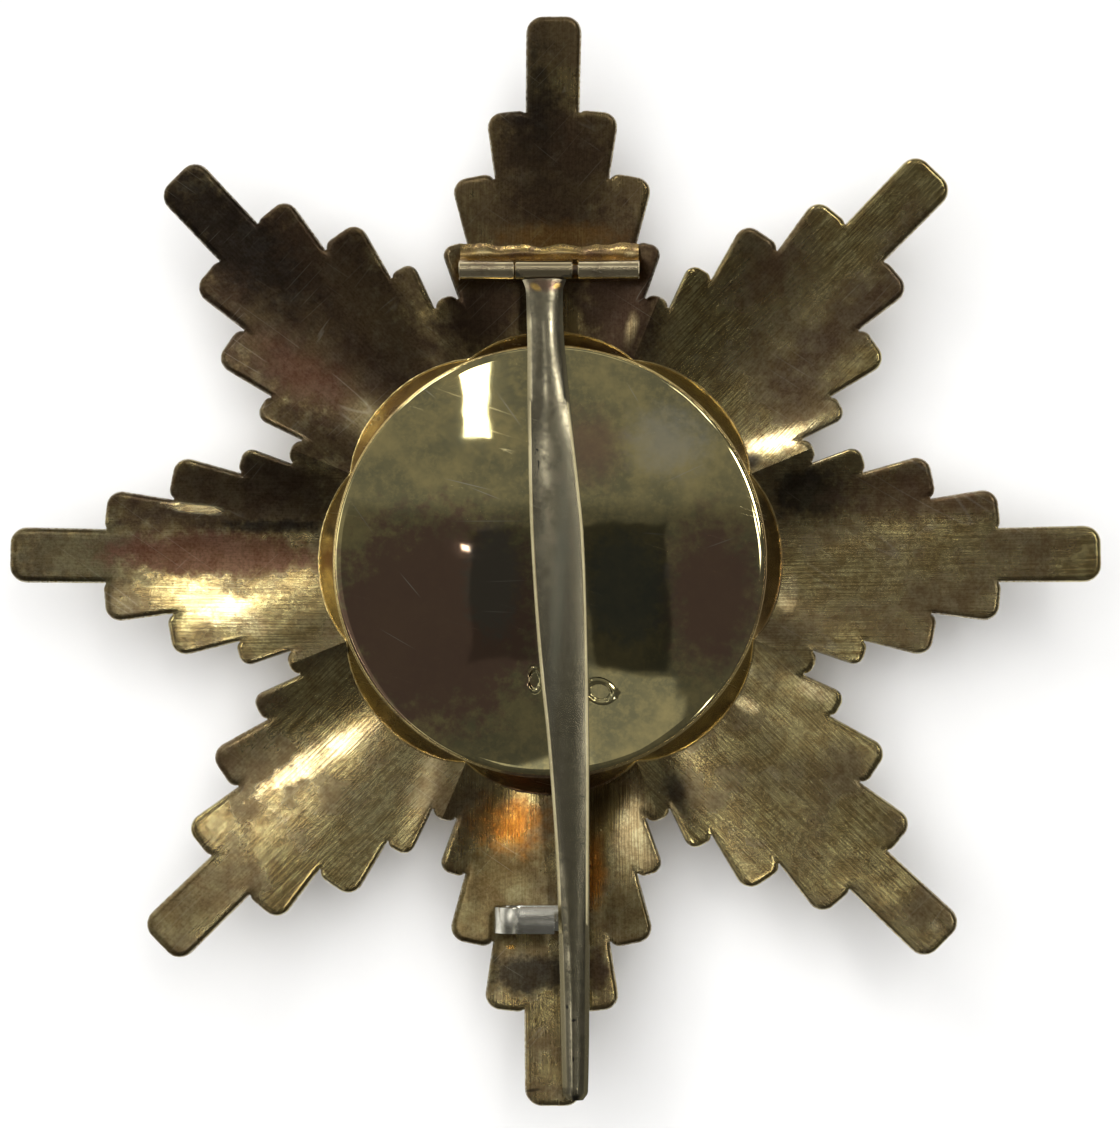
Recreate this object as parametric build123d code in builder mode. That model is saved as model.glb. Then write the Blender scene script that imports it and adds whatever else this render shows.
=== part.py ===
from build123d import *
from collections import namedtuple
from math import cos, radians, sin, sqrt, tan
import os

# A breast star with eight hollow-backed arms, lying on its face, so that its back looks up.
# Millimetres, +Z up, the arm with the hinge points along +Y. The bezel on the front stands on z = 0.

# The star as a whole
arm_count = 8
tip_radius = 42.5
ridge_angle = 180 / arm_count
seat_gap = 0.04

# Rays on each side of an arm's middle ray: the angles off the arm's axis between which a ray lies,
# its reach from the centre, and the rounding of its two end corners
Ray = namedtuple("Ray", "start stop reach near_round far_round")
long_ray = Ray(start=3.2, stop=8.6, reach=35.0, near_round=0.7, far_round=1.2)
middle_ray = Ray(start=8.6, stop=15.15, reach=30.4, near_round=0.8, far_round=1.2)
short_ray = Ray(start=15.15, stop=19.85, reach=25.6, near_round=0.6, far_round=0.9)
valley_ray = Ray(start=19.85, stop=25.15, reach=22.2, near_round=0.8, far_round=0.8)
tip_half_width = 2.22
root_half_width = 1.6
tip_round = 1.3

# The struck sheet: distance from the centre, and height of the trough's floor there
Station = namedtuple("Station", "x floor")
stations = [
    Station(x=12.0, floor=5.75),
    Station(x=18.0, floor=6.0),
    Station(x=26.0, floor=7.35),
    Station(x=35.0, floor=9.05),
    Station(x=44.0, floor=10.7),
]
ridge_rise = 2.0
groove_sheet = 0.75
bulge_ratio = 0.13
groove_angles = [3.2, 8.6, 15.15, 19.85, 25.15]
blank_bottom = 2.0
blank_top = 16.0

# The hub behind the medallion, with the sloping collar around the cover, soldered a little off centre
hub_x = -0.15
hub_y = -0.3
hub_seat_radius = 16.2
hub_seat_z = 4.75
collar_foot_radius = 18.35
collar_foot_z = 5.95
collar_top_radius = 16.95
collar_top_z = 7.95
hub_bore_radius = 15.0
hub_web_z = 6.0

# The cover that closes the back
cover_radius = 16.8
cover_rim = 0.35
cover_rise = 0.4
cover_sheet = 0.45
cover_edge_round = 0.12
cover_land = 1.6

# Bezel and medallion on the hidden front
bezel_radius = 15.6
bezel_bore_radius = 13.2
bezel_lip_radius = 12.6
bezel_lip = 1.6
bezel_round = 0.45
medallion_radius = 13.12
medallion_dome_radius = 12.4
medallion_front_z = 0.6
medallion_shoulder_z = 1.5
medallion_sheet = 0.95

# Hinge across the upper arm, axis along X
hinge_y = 22.4
hinge_z = 9.3
knuckle_radius = 0.8
left_knuckle = (-7.23, -2.89)
pin_knuckle = (-2.81, 1.68)
right_knuckle = (2.09, 6.9)
rivet_radius = 0.38
rivet_recess = 0.1
fixed_clearance = 0.02
running_clearance = 0.04
relief_clearance = 0.15
foot_south_y = 21.85
foot_north_y = 24.6
foot_north_z = 7.5
solder_middle = (23.65, 8.35)
saddle_z = 8.5
saddle_size = 3.2

# The pin, from its neck to its tip: place, width and thickness of each section
Section = namedtuple("Section", "y x z width thickness")
neck_sections = [
    Section(y=21.9, x=-0.54, z=9.2, width=3.7, thickness=0.8),
    Section(y=20.7, x=-0.52, z=9.28, width=2.95, thickness=0.8),
    Section(y=18.5, x=-0.48, z=9.45, width=2.88, thickness=0.95),
]
blade_sections = [
    Section(y=18.5, x=-0.48, z=9.45, width=2.88, thickness=0.95),
    Section(y=10.0, x=-0.05, z=9.7, width=3.5, thickness=1.05),
    Section(y=1.5, x=0.5, z=9.94, width=4.15, thickness=1.1),
    Section(y=-7.0, x=0.93, z=10.19, width=3.88, thickness=1.1),
    Section(y=-15.5, x=1.42, z=10.44, width=3.15, thickness=1.1),
    Section(y=-24.0, x=1.72, z=10.68, width=2.55, thickness=1.1),
    Section(y=-32.5, x=1.87, z=10.92, width=2.27, thickness=1.1),
    Section(y=-41.0, x=1.92, z=11.15, width=1.95, thickness=1.05),
]
tip_sections = [
    Section(y=-41.0, x=1.92, z=11.15, width=1.95, thickness=1.05),
    Section(y=-41.6, x=1.92, z=11.17, width=1.2, thickness=0.8),
]
flat_share = 0.8
side_low_share = -0.4
side_high_share = 0.25

# The catch, a C of flat strip on the lower arm, open to the right
catch_near_y = -27.1
catch_far_y = -29.1
catch_left_x = -4.4
catch_mouth_x = 0.35
catch_strip = 0.5
catch_top_z = 12.05
catch_foot_top_z = 8.3
catch_foot_end_x = 0.6
foot_depth = 1.0


def trough_radius(station):
    # Radius of the trough's arc, which rises by ridge_rise on the ridge line
    half = station.x * tan(radians(ridge_angle))
    return (half**2 + ridge_rise**2) / (2 * ridge_rise)


def back_z(station, y):
    radius = trough_radius(station)
    return station.floor + radius - sqrt(radius**2 - y**2)


def dome_drop(radius, rise, x):
    # How far a dome over a circle of this radius lies below its crown, x from the axis
    sphere = (radius**2 + rise**2) / (2 * rise)
    return sphere - sqrt(sphere**2 - x**2)


def arm_plane(station):
    # Section plane across an arm that lies along +X: local x is +Y, local y is +Z
    return Plane(origin=(station.x, 0, 0), x_dir=(0, 1, 0), z_dir=(1, 0, 0))


def ray_shape(ray):
    # One side ray seen from above: radial sides from the centre and a round-cornered end
    with BuildSketch() as shape:
        middle = (ray.start + ray.stop) / 2
        end = ray.reach / cos(radians(ray.stop - middle))
        near_end = (end * cos(radians(ray.start)), end * sin(radians(ray.start)))
        far_end = (end * cos(radians(ray.stop)), end * sin(radians(ray.stop)))
        with BuildLine():
            Polyline((0, 0), near_end, far_end, close=True)
        make_face()
        fillet(shape.vertices().sort_by(Axis.Y)[-1], ray.far_round)
        fillet(shape.vertices().sort_by_distance(near_end)[0], ray.near_round)
    return shape.sketch


def blade_face(section):
    # Cross-section of the pin: flat below, bevelled edges, crowned above
    half = section.width / 2
    thick = section.thickness / 2
    plane = Plane(origin=(section.x, section.y, section.z), x_dir=(1, 0, 0), z_dir=(0, -1, 0))
    with BuildSketch(plane) as blade:
        with BuildLine():
            Polyline(
                (-half, side_high_share * thick),
                (-half, side_low_share * thick),
                (-flat_share * half, -thick),
                (flat_share * half, -thick),
                (half, side_low_share * thick),
                (half, side_high_share * thick),
            )
            ThreePointArc((half, side_high_share * thick), (0, thick), (-half, side_high_share * thick))
        make_face()
    return blade.sketch


# Outline of one arm, then of the star
with BuildSketch() as arm_outline:
    with BuildLine():
        Polyline(
            (0, -root_half_width),
            (tip_radius, -tip_half_width),
            (tip_radius, tip_half_width),
            (0, root_half_width),
            close=True,
        )
    make_face()
    fillet(arm_outline.vertices().sort_by(Axis.X)[-2:], tip_round)
    for side_ray in (long_ray, middle_ray, short_ray):
        add(ray_shape(side_ray))
        add(ray_shape(side_ray).mirror(Plane.XZ))
    add(ray_shape(valley_ray))

with BuildSketch() as star_outline:
    Circle(hub_seat_radius)
    with PolarLocations(0, arm_count):
        add(arm_outline.sketch)

# One arm's sheet as a 45 degree wedge: smooth hollow back, a round rod for each ray on the front
with BuildPart() as arm_sheet:
    for station in stations:
        with BuildSketch(arm_plane(station)):
            grooves = [station.x * tan(radians(angle)) for angle in groove_angles]
            edges = [-y for y in reversed(grooves)] + grooves
            with BuildLine():
                left = (edges[0], back_z(station, edges[0]))
                right = (edges[-1], back_z(station, edges[-1]))
                ThreePointArc(left, (0, station.floor), right)
                for start, stop in zip(edges, edges[1:]):
                    middle = (start + stop) / 2
                    depth = groove_sheet + bulge_ratio * (stop - start)
                    ThreePointArc(
                        (start, back_z(station, start) - groove_sheet),
                        (middle, back_z(station, middle) - depth),
                        (stop, back_z(station, stop) - groove_sheet),
                    )
                Line(left, (left[0], left[1] - groove_sheet))
                Line(right, (right[0], right[1] - groove_sheet))
            make_face()
    loft()
    with BuildSketch():
        wedge_x = 2 * tip_radius
        wedge_y = wedge_x * tan(radians(ridge_angle))
        with BuildLine():
            Polyline((0, 0), (wedge_x, -wedge_y), (wedge_x, wedge_y), close=True)
        make_face()
    extrude(amount=blank_top, mode=Mode.INTERSECT)

# A block under an arm's back, to cut what is seated in the trough
with BuildPart() as trough_block:
    for station in stations:
        with BuildSketch(arm_plane(station)):
            edge = station.x * tan(radians(ridge_angle))
            with BuildLine():
                edge_z = back_z(station, edge) + seat_gap
                ThreePointArc((-edge, edge_z), (0, station.floor + seat_gap), (edge, edge_z))
                Polyline((edge, edge_z), (edge, blank_bottom), (-edge, blank_bottom), (-edge, edge_z))
            make_face()
    loft()

hub_plane = Plane(origin=(hub_x, hub_y, 0), x_dir=(1, 0, 0), z_dir=(0, -1, 0))
hub_axis = Axis((hub_x, hub_y, 0), (0, 0, 1))

# Struck star with its hub and collar
with BuildPart() as star_plate:
    with PolarLocations(0, arm_count):
        add(arm_sheet.part)
    with BuildSketch(hub_plane):
        with BuildLine():
            Polyline(
                (0, hub_seat_z),
                (hub_seat_radius, hub_seat_z),
                (collar_foot_radius, collar_foot_z),
                (collar_top_radius, collar_top_z),
                (hub_bore_radius, collar_top_z),
                (hub_bore_radius, hub_web_z),
                (0, hub_web_z),
                close=True,
            )
        make_face()
    revolve(axis=hub_axis)
    extrude(star_outline.sketch, amount=blank_top, mode=Mode.INTERSECT)

# Domed cover, on the collar's top
with BuildPart() as back_cover:
    cover_bottom_z = collar_top_z + seat_gap
    cover_rim_z = cover_bottom_z + cover_rim
    cover_top_z = cover_rim_z + cover_rise
    land_radius = cover_radius - cover_land
    under_top_z = cover_top_z - cover_sheet
    half_way = cover_radius / 2
    half_way_z = cover_top_z - dome_drop(cover_radius, cover_rise, half_way)
    under_half_way = land_radius / 2
    under_half_way_z = under_top_z - dome_drop(land_radius, under_top_z - cover_bottom_z, under_half_way)
    with BuildSketch(hub_plane):
        with BuildLine():
            ThreePointArc((0, cover_top_z), (half_way, half_way_z), (cover_radius, cover_rim_z))
            Line((cover_radius, cover_rim_z), (cover_radius, cover_bottom_z))
            Line((cover_radius, cover_bottom_z), (land_radius, cover_bottom_z))
            ThreePointArc((land_radius, cover_bottom_z), (under_half_way, under_half_way_z), (0, under_top_z))
            Line((0, under_top_z), (0, cover_top_z))
        make_face()
    revolve(axis=hub_axis)
    rim_edges = back_cover.edges().filter_by(GeomType.CIRCLE)
    fillet(rim_edges.filter_by(lambda e: abs(e.center().Z - cover_rim_z) < 0.01), cover_edge_round)

# Plain bezel and domed disc on the front
with BuildPart() as medallion_ring:
    bezel_top_z = hub_seat_z - seat_gap
    with BuildSketch(hub_plane):
        with BuildLine():
            Polyline(
                (bezel_lip_radius, 0),
                (bezel_radius, 0),
                (bezel_radius, bezel_top_z),
                (bezel_bore_radius, bezel_top_z),
                (bezel_bore_radius, bezel_lip),
                (bezel_lip_radius, bezel_lip),
                close=True,
            )
        make_face()
    revolve(axis=hub_axis)
    front_edges = medallion_ring.edges().filter_by(lambda e: abs(e.center().Z) < 0.01)
    fillet(front_edges.filter_by(GeomType.CIRCLE), bezel_round)

with BuildPart() as medallion:
    rim_z = bezel_lip + seat_gap
    back_rim_z = medallion_shoulder_z + medallion_sheet
    back_top_z = medallion_front_z + medallion_sheet
    crown = medallion_shoulder_z - medallion_front_z
    dome_middle = medallion_dome_radius / 2
    middle_drop = dome_drop(medallion_dome_radius, crown, dome_middle)
    with BuildSketch(hub_plane):
        with BuildLine():
            ThreePointArc(
                (0, medallion_front_z),
                (dome_middle, medallion_front_z + middle_drop),
                (medallion_dome_radius, medallion_shoulder_z),
            )
            Polyline(
                (medallion_dome_radius, medallion_shoulder_z),
                (medallion_dome_radius, rim_z),
                (medallion_radius, rim_z),
                (medallion_radius, back_rim_z),
                (medallion_dome_radius, back_rim_z),
            )
            ThreePointArc(
                (medallion_dome_radius, back_rim_z),
                (dome_middle, back_top_z + middle_drop),
                (0, back_top_z),
            )
            Line((0, back_top_z), (0, medallion_front_z))
        make_face()
    revolve(axis=hub_axis)

# Foot strip with its solder fillet and the two fixed knuckles
with BuildPart() as hinge_barrel:
    barrel_length = right_knuckle[1] - left_knuckle[0]
    with BuildSketch(Plane.YZ.offset(left_knuckle[0])):
        with BuildLine():
            Polyline(
                (foot_north_y, foot_north_z - foot_depth),
                (foot_south_y, foot_north_z - foot_depth),
                (foot_south_y, hinge_z),
                (hinge_y + knuckle_radius, hinge_z),
            )
            ThreePointArc(
                (hinge_y + knuckle_radius, hinge_z),
                solder_middle,
                (foot_north_y, foot_north_z),
            )
            Line((foot_north_y, foot_north_z), (foot_north_y, foot_north_z - foot_depth))
        make_face()
    extrude(amount=barrel_length)
    with BuildSketch(Plane.YZ.offset(left_knuckle[0])):
        with Locations((hinge_y, hinge_z)):
            Circle(knuckle_radius)
    extrude(amount=barrel_length)
    gap_length = right_knuckle[0] - left_knuckle[1]
    with BuildSketch(Plane.YZ.offset(left_knuckle[1])):
        with Locations((hinge_y, hinge_z)):
            Circle(knuckle_radius + relief_clearance)
        with Locations((hinge_y, saddle_z)):
            Rectangle(saddle_size, saddle_size, align=(Align.CENTER, Align.MIN))
    extrude(amount=gap_length, mode=Mode.SUBTRACT)
    with BuildSketch(Plane.YZ.offset(left_knuckle[0])):
        with Locations((hinge_y, hinge_z)):
            Circle(rivet_radius + fixed_clearance)
    extrude(amount=barrel_length, mode=Mode.SUBTRACT)
    add(trough_block.part.rotate(Axis.Z, 90), mode=Mode.SUBTRACT)

with BuildPart() as hinge_rivet:
    with BuildSketch(Plane.YZ.offset(left_knuckle[0] + rivet_recess)):
        with Locations((hinge_y, hinge_z)):
            Circle(rivet_radius)
    extrude(amount=barrel_length - 2 * rivet_recess)

# The pin: a crowned blade that narrows to the tip, a neck, and the knuckle around the rivet
with BuildPart() as brooch_pin:
    for sections in (neck_sections, blade_sections, tip_sections):
        for section in sections:
            add(blade_face(section))
        loft(ruled=sections is not blade_sections)
    with BuildSketch(Plane.YZ.offset(pin_knuckle[0])):
        with Locations((hinge_y, hinge_z)):
            Circle(knuckle_radius)
    extrude(amount=pin_knuckle[1] - pin_knuckle[0])
    with BuildSketch(Plane.YZ.offset(pin_knuckle[0])):
        with Locations((hinge_y, hinge_z)):
            Circle(rivet_radius + running_clearance)
    extrude(amount=pin_knuckle[1] - pin_knuckle[0], mode=Mode.SUBTRACT)

# C-shaped hook of flat strip with its foot in the trough
with BuildPart() as catch_hook:
    bend_radius = (catch_top_z - catch_foot_top_z + catch_strip) / 2
    bend_x = catch_left_x + bend_radius
    bend_z = catch_top_z - bend_radius
    with BuildSketch(Plane.XZ.offset(-catch_near_y)):
        with Locations((bend_x, bend_z)):
            Circle(bend_radius)
            Circle(bend_radius - catch_strip, mode=Mode.SUBTRACT)
        with Locations((bend_x, bend_z)):
            Rectangle(2 * bend_radius, 2 * bend_radius, align=(Align.MIN, Align.CENTER), mode=Mode.SUBTRACT)
        with Locations((bend_x, catch_top_z)):
            Rectangle(catch_mouth_x - bend_x, catch_strip, align=(Align.MIN, Align.MAX))
        with Locations((bend_x, catch_foot_top_z)):
            Rectangle(catch_foot_end_x - bend_x, foot_depth, align=(Align.MIN, Align.MAX))
    extrude(amount=catch_near_y - catch_far_y)
    add(trough_block.part.rotate(Axis.Z, -90), mode=Mode.SUBTRACT)

nodes = {
    "star_plate": star_plate,
    "back_cover": back_cover,
    "medallion_ring": medallion_ring,
    "medallion": medallion,
    "hinge_barrel": hinge_barrel,
    "hinge_rivet": hinge_rivet,
    "brooch_pin": brooch_pin,
    "catch_hook": catch_hook,
}
os.makedirs("parts", exist_ok=True)
for name, piece in nodes.items():
    piece.part.label = name
    export_step(piece.part, f"parts/{name}.step")
    print(name, "volume", round(piece.part.volume, 1), "mm3, solids", len(piece.part.solids()))
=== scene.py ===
# %% [markdown]
# A breast star from behind
#
# The star lies on its face. Its back is what shows: eight struck arms of gilt silver, hollow like
# shallow gutters, a round cover over the medallion's back, and the brooch fitting, which is a hinge on
# the upper arm, a long blade pin and an open hook on the lower arm. The construction comes from a
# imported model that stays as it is. This lesson puts finer pieces in its places and gives each its finish.

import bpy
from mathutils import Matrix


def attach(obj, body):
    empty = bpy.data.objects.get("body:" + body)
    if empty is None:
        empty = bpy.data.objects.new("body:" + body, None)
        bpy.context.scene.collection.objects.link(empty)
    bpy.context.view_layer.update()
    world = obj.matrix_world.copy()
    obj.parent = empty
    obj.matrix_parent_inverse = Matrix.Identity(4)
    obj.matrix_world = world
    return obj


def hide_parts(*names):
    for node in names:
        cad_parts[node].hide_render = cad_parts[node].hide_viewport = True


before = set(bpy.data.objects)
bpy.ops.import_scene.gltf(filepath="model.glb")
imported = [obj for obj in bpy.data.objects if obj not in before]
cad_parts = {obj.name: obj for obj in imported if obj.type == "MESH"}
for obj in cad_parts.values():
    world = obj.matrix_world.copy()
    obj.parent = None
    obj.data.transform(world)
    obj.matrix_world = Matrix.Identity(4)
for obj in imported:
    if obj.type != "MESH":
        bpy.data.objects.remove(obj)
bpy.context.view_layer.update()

import math

import bmesh
import bpy
import numpy as np
from mathutils import Matrix, Vector, noise
from mathutils.geometry import delaunay_2d_cdt

MM = 0.001

# %% [markdown]
# Helpers for meshes
#
# All shapes below are worked out in millimetres and scaled to metres when the mesh is made. A mesh
# may be smooth and still keep its creases: edges steeper than a chosen angle are marked sharp.

# %% Make a mesh object
def mesh_object(name, points, faces, crease_deg=35):
    """A smooth-shaded mesh of points in millimetres, with creases where it turns sharply."""
    mesh = bpy.data.meshes.new(name)
    mesh.from_pydata([tuple(value * MM for value in point) for point in points], [], faces)
    mesh.shade_smooth()
    mesh.set_sharp_from_angle(angle=math.radians(crease_deg))
    made = bpy.data.objects.new(name, mesh)
    bpy.context.scene.collection.objects.link(made)
    return made


def tidy_mesh(mesh, merge_mm=0.0005, crease_deg=35):
    """Merges doubled points and turns the faces of a closed mesh outwards."""
    work = bmesh.new()
    work.from_mesh(mesh)
    bmesh.ops.remove_doubles(work, verts=work.verts, dist=merge_mm * MM)
    bmesh.ops.recalc_face_normals(work, faces=work.faces)
    open_edges = sum(not edge.is_manifold for edge in work.edges)
    work.to_mesh(mesh)
    work.free()
    mesh.shade_smooth()
    mesh.set_sharp_from_angle(angle=math.radians(crease_deg))
    print(mesh.name, len(mesh.vertices), "points,", len(mesh.polygons), "faces,", open_edges, "open edges")


def place(made, body, slot, *replaced):
    """Lets a finished piece ride its body and stand for the nodes that it replaces."""
    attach(made, body)
    if replaced:
        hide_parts(*replaced)
    return made


# %% [markdown]
# Helpers for node trees
#
# Geometry trees and shader trees are both built from nodes and links, so one pair of helpers serves
# both: the first makes a node and feeds its sockets, the second makes a sum or a product in one line.

# %% Make nodes and links
def node(tree, kind, feeds=None, **settings):
    """A node with its settings, whose inputs take plain values or the sockets they are fed from."""
    made = tree.nodes.new(kind)
    for key, value in settings.items():
        setattr(made, key, value)
    for key, value in (feeds or {}).items():
        if isinstance(value, bpy.types.NodeSocket):
            tree.links.new(value, made.inputs[key])
        else:
            made.inputs[key].default_value = value
    return made


def calc(tree, operation, *values, clamp=False):
    """The result of one Math node."""
    made = node(tree, "ShaderNodeMath", dict(enumerate(values)), operation=operation, use_clamp=clamp)
    return made.outputs[0]


def vector_calc(tree, operation, *values, output="Vector"):
    """The result of one Vector Math node."""
    feeds = dict(enumerate(values))
    if operation == "SCALE":
        feeds = {0: values[0], "Scale": values[1]}
    return node(tree, "ShaderNodeVectorMath", feeds, operation=operation).outputs[output]


def ease(tree, value, start, stop, low=0.0, high=1.0):
    """A soft step of a value, from low at start to high at stop."""
    feeds = {0: value, 1: start, 2: stop, 3: low, 4: high}
    return node(tree, "ShaderNodeMapRange", feeds, interpolation_type="SMOOTHSTEP").outputs[0]


# %% [markdown]
# One arm's outline
#
# An arm is a middle ray with three shorter rays on each side and half a valley ray that it shares with
# its neighbour. All of them fan out from the star's centre. The ends were cut and filed round by hand,
# so each end is a straight edge between two small arcs, and a narrow notch stays between two rays.

# %% Rays and their ends
from collections import namedtuple

ARMS = 8
RIDGE_DEG = 180 / ARMS
TIP_X = 42.45
TIP_HALF = 2.2
ROOT_HALF = 1.6
TIP_ROUND = 1.3
NOTCH = 0.1
INNER_R = 15.4
INNER_STEPS = 24
Ray = namedtuple("Ray", "start stop reach near_round far_round lap")
RAYS = [
    Ray(start=3.2, stop=8.6, reach=35.0, near_round=0.7, far_round=1.2, lap=0.17),
    Ray(start=8.6, stop=15.15, reach=30.4, near_round=0.8, far_round=1.2, lap=0),
    Ray(start=15.15, stop=19.85, reach=25.6, near_round=0.6, far_round=0.9, lap=0),
    Ray(start=19.85, stop=25.15, reach=22.2, near_round=0.8, far_round=0.8, lap=0),
]


def polar(radius, degrees):
    return np.array([radius * math.cos(math.radians(degrees)), radius * math.sin(math.radians(degrees))])


def arc(centre, radius, start, stop, step_deg=11):
    """Points round an arc, angles in degrees."""
    count = max(2, math.ceil(abs(stop - start) / step_deg) + 1)
    return [centre + polar(radius, angle) for angle in np.linspace(start, stop, count)]


def corner_centre(reach, middle, side, radius, sign):
    """Centre of the arc that rounds a ray's end corner beside the radial line at angle side."""
    end_line = polar(1, middle)
    side_line = sign * polar(1, side + 90)
    return np.linalg.solve(np.array([end_line, side_line]), np.array([reach - radius, radius]))


def ray_end(ray):
    """A ray's end from the notch beside its longer neighbour to its far side."""
    middle = (ray.start + ray.stop) / 2
    near = corner_centre(ray.reach, middle, ray.start, ray.near_round, 1)
    far = corner_centre(ray.reach, middle, ray.stop, ray.far_round, -1)
    cut = math.degrees(math.acos(1 - (NOTCH + ray.lap) / ray.near_round))
    rounded = arc(near, ray.near_round, ray.start - 90 + cut, middle)
    notch = rounded[0] + NOTCH * polar(1, ray.start - 90)
    return [notch] + rounded, arc(far, ray.far_round, middle, ray.stop + 90)


def half_outline():
    """From the middle of the arm's tip to the ridge line."""
    slope = math.degrees(math.atan((TIP_HALF - ROOT_HALF) / TIP_X))
    corner_x = TIP_X - TIP_ROUND
    corner_y = ROOT_HALF + (TIP_HALF - ROOT_HALF) * corner_x / TIP_X - TIP_ROUND
    points = [np.array([TIP_X, 0])] + arc(np.array([corner_x, corner_y]), TIP_ROUND, 0, 90 + slope)
    for ray in RAYS[:-1]:
        near, far = ray_end(ray)
        points += near + far
    near, far = ray_end(RAYS[-1])
    return points + near + [polar(RAYS[-1].reach, RIDGE_DEG)]


def spread(points, step):
    """The same line with extra points, none further apart than step, and straight runs bowed by a few um."""
    full = [points[0]]
    for here, there in zip(points, points[1:]):
        count = max(1, math.ceil(np.linalg.norm(there - here) / step))
        outwards = np.array([there[1] - here[1], here[0] - there[0]]) / np.linalg.norm(there - here)
        for share in np.arange(1, count + 1) / count:
            full.append(here + (there - here) * share + outwards * 0.02 * share * (1 - share))
    return np.array(full)


upper = spread(half_outline(), 0.4)
outline = np.vstack([upper[::-1] * [1, -1], upper[1:]])
print("one arm's outline has", len(outline), "points")

# %% [markdown]
# The struck sheet
#
# The back of an arm is a gutter: across, it is an arc that climbs to the ridge between two arms, and
# along, its floor climbs gently towards the tip, so the whole star is domed. The front has a round rod
# for each ray. A flat triangulation of the outline, lifted by these two rules, gives both faces.
# The rim is eased over by distance from the outline, because filing and polishing took its edge off.

# %% Heights of back and front
FLOOR_AT = {12: 5.75, 18: 6.0, 26: 7.35, 35: 9.05, 44: 10.7}
RIDGE_RISE = 2.0
SHEET = 0.75
BULGE = 0.13
EDGE_WIDTH = 0.5
EDGE_DEPTH = 0.34
FRONT_EDGE_WIDTH = 0.3
FRONT_EDGE_DEPTH = 0.25
floor_curve = np.polyfit(list(FLOOR_AT), list(FLOOR_AT.values()), len(FLOOR_AT) - 1)
ridge_slope = math.tan(math.radians(RIDGE_DEG))


def back_height(x, y):
    """Height of the gutter, x along the arm and y across it."""
    radius = ((x * ridge_slope) ** 2 + RIDGE_RISE**2) / (2 * RIDGE_RISE)
    return np.polyval(floor_curve, x) + radius - np.sqrt(radius**2 - y**2)


def front_height(x, y):
    """Height of the rods on the other side of the sheet."""
    angle = np.abs(np.degrees(np.arctan2(y, x)))
    start = np.full_like(angle, -RAYS[0].start)
    stop = np.full_like(angle, RAYS[0].start)
    for ray in RAYS:
        start = np.where(angle > ray.start, ray.start, start)
        stop = np.where(angle > ray.start, ray.stop, stop)
    width = x * (np.tan(np.radians(stop)) - np.tan(np.radians(start)))
    share = (2 * angle - start - stop) / (stop - start)
    valley_edge = x * math.tan(math.radians(RAYS[-1].start))
    base = back_height(x, np.minimum(np.abs(y), valley_edge))
    return base - SHEET - BULGE * width * (1 - share**2)


def eased(distance, width, depth):
    """How far a rounded edge falls at this distance from the outline."""
    inwards = np.clip(1 - distance / width, 0, 1)
    return depth * (1 - np.sqrt(1 - inwards**2))


def distance_to_line(points, line):
    """Shortest distance from each point to a line of points."""
    start, along = line[:-1], np.diff(line, axis=0)
    offset = points[:, None] - start[None]
    share = np.clip((offset * along).sum(2) / (along**2).sum(1), 0, 1)
    return np.linalg.norm(offset - share[..., None] * along, axis=2).min(1)


# %% Triangulate one arm
def fill(points, loop, creases=()):
    """Triangles over a flat region, inside a loop of point numbers, that use every point given."""
    flat = [Vector((float(x), float(y))) for x, y in points]
    result = delaunay_2d_cdt(flat, list(creases), [list(loop)], 1, 1e-6)
    made = [None] * len(points)
    for index, sources in enumerate(result[3]):
        for source in sources:
            made[source] = index
    return np.array([list(point) for point in result[0]]), [list(face) for face in result[2]], made


def arm_face(ring_depths, fan_deg, fan_step, keep_off, grooves=()):
    """One face of the arm, flat: its points, triangles and the numbers of its outline points."""
    inward = np.zeros_like(outline)
    tangent = np.gradient(outline, axis=0)
    inward[:, 0], inward[:, 1] = -tangent[:, 1], tangent[:, 0]
    inward /= np.linalg.norm(inward, axis=1)[:, None]
    ridge_radii = [RAYS[-1].reach - depth for depth in ring_depths[1:]]
    ridge_radii += list(np.arange(ridge_radii[-1] - fan_step, INNER_R, -fan_step)) + [INNER_R]
    right_side = [polar(radius, RIDGE_DEG) for radius in ridge_radii]
    inner = [polar(INNER_R, angle) for angle in np.linspace(RIDGE_DEG, -RIDGE_DEG, INNER_STEPS + 1)[1:-1]]
    left_side = [polar(radius, -RIDGE_DEG) for radius in reversed(ridge_radii)]
    border = np.vstack([outline, right_side, inner, left_side])
    creases, extra = [], []
    for depth in ring_depths[1:]:
        ring = outline[1:-1] + depth * inward[1:-1]
        extra.append(ring[distance_to_line(ring, outline) > 0.85 * depth])
    fan = [
        polar(radius, angle)
        for angle in np.arange(-RIDGE_DEG + fan_deg, RIDGE_DEG - 0.01, fan_deg)
        for radius in np.arange(INNER_R + fan_step, TIP_X, fan_step)
    ]
    fan = np.array([point for point in fan if inside(point)])
    extra.append(fan[distance_to_line(fan, outline) > keep_off])
    count = len(border) + sum(len(group) for group in extra)
    for angle, reach in grooves:
        line = np.array([polar(radius, angle) for radius in np.arange(INNER_R + 0.1, reach, fan_step / 2)])
        line = line[distance_to_line(line, outline) > 0.1]
        creases += [(count + step, count + step + 1) for step in range(len(line) - 1)]
        count += len(line)
        extra.append(line)
    points, faces, made = fill(np.vstack([border, *extra]), range(len(border)), creases)
    first_inner = len(outline) + len(right_side) - 1
    ring_numbers = [made[index] for index in range(len(outline))]
    inner_numbers = [made[index] for index in range(first_inner, first_inner + INNER_STEPS + 1)]
    return points, faces, ring_numbers, inner_numbers


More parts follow.
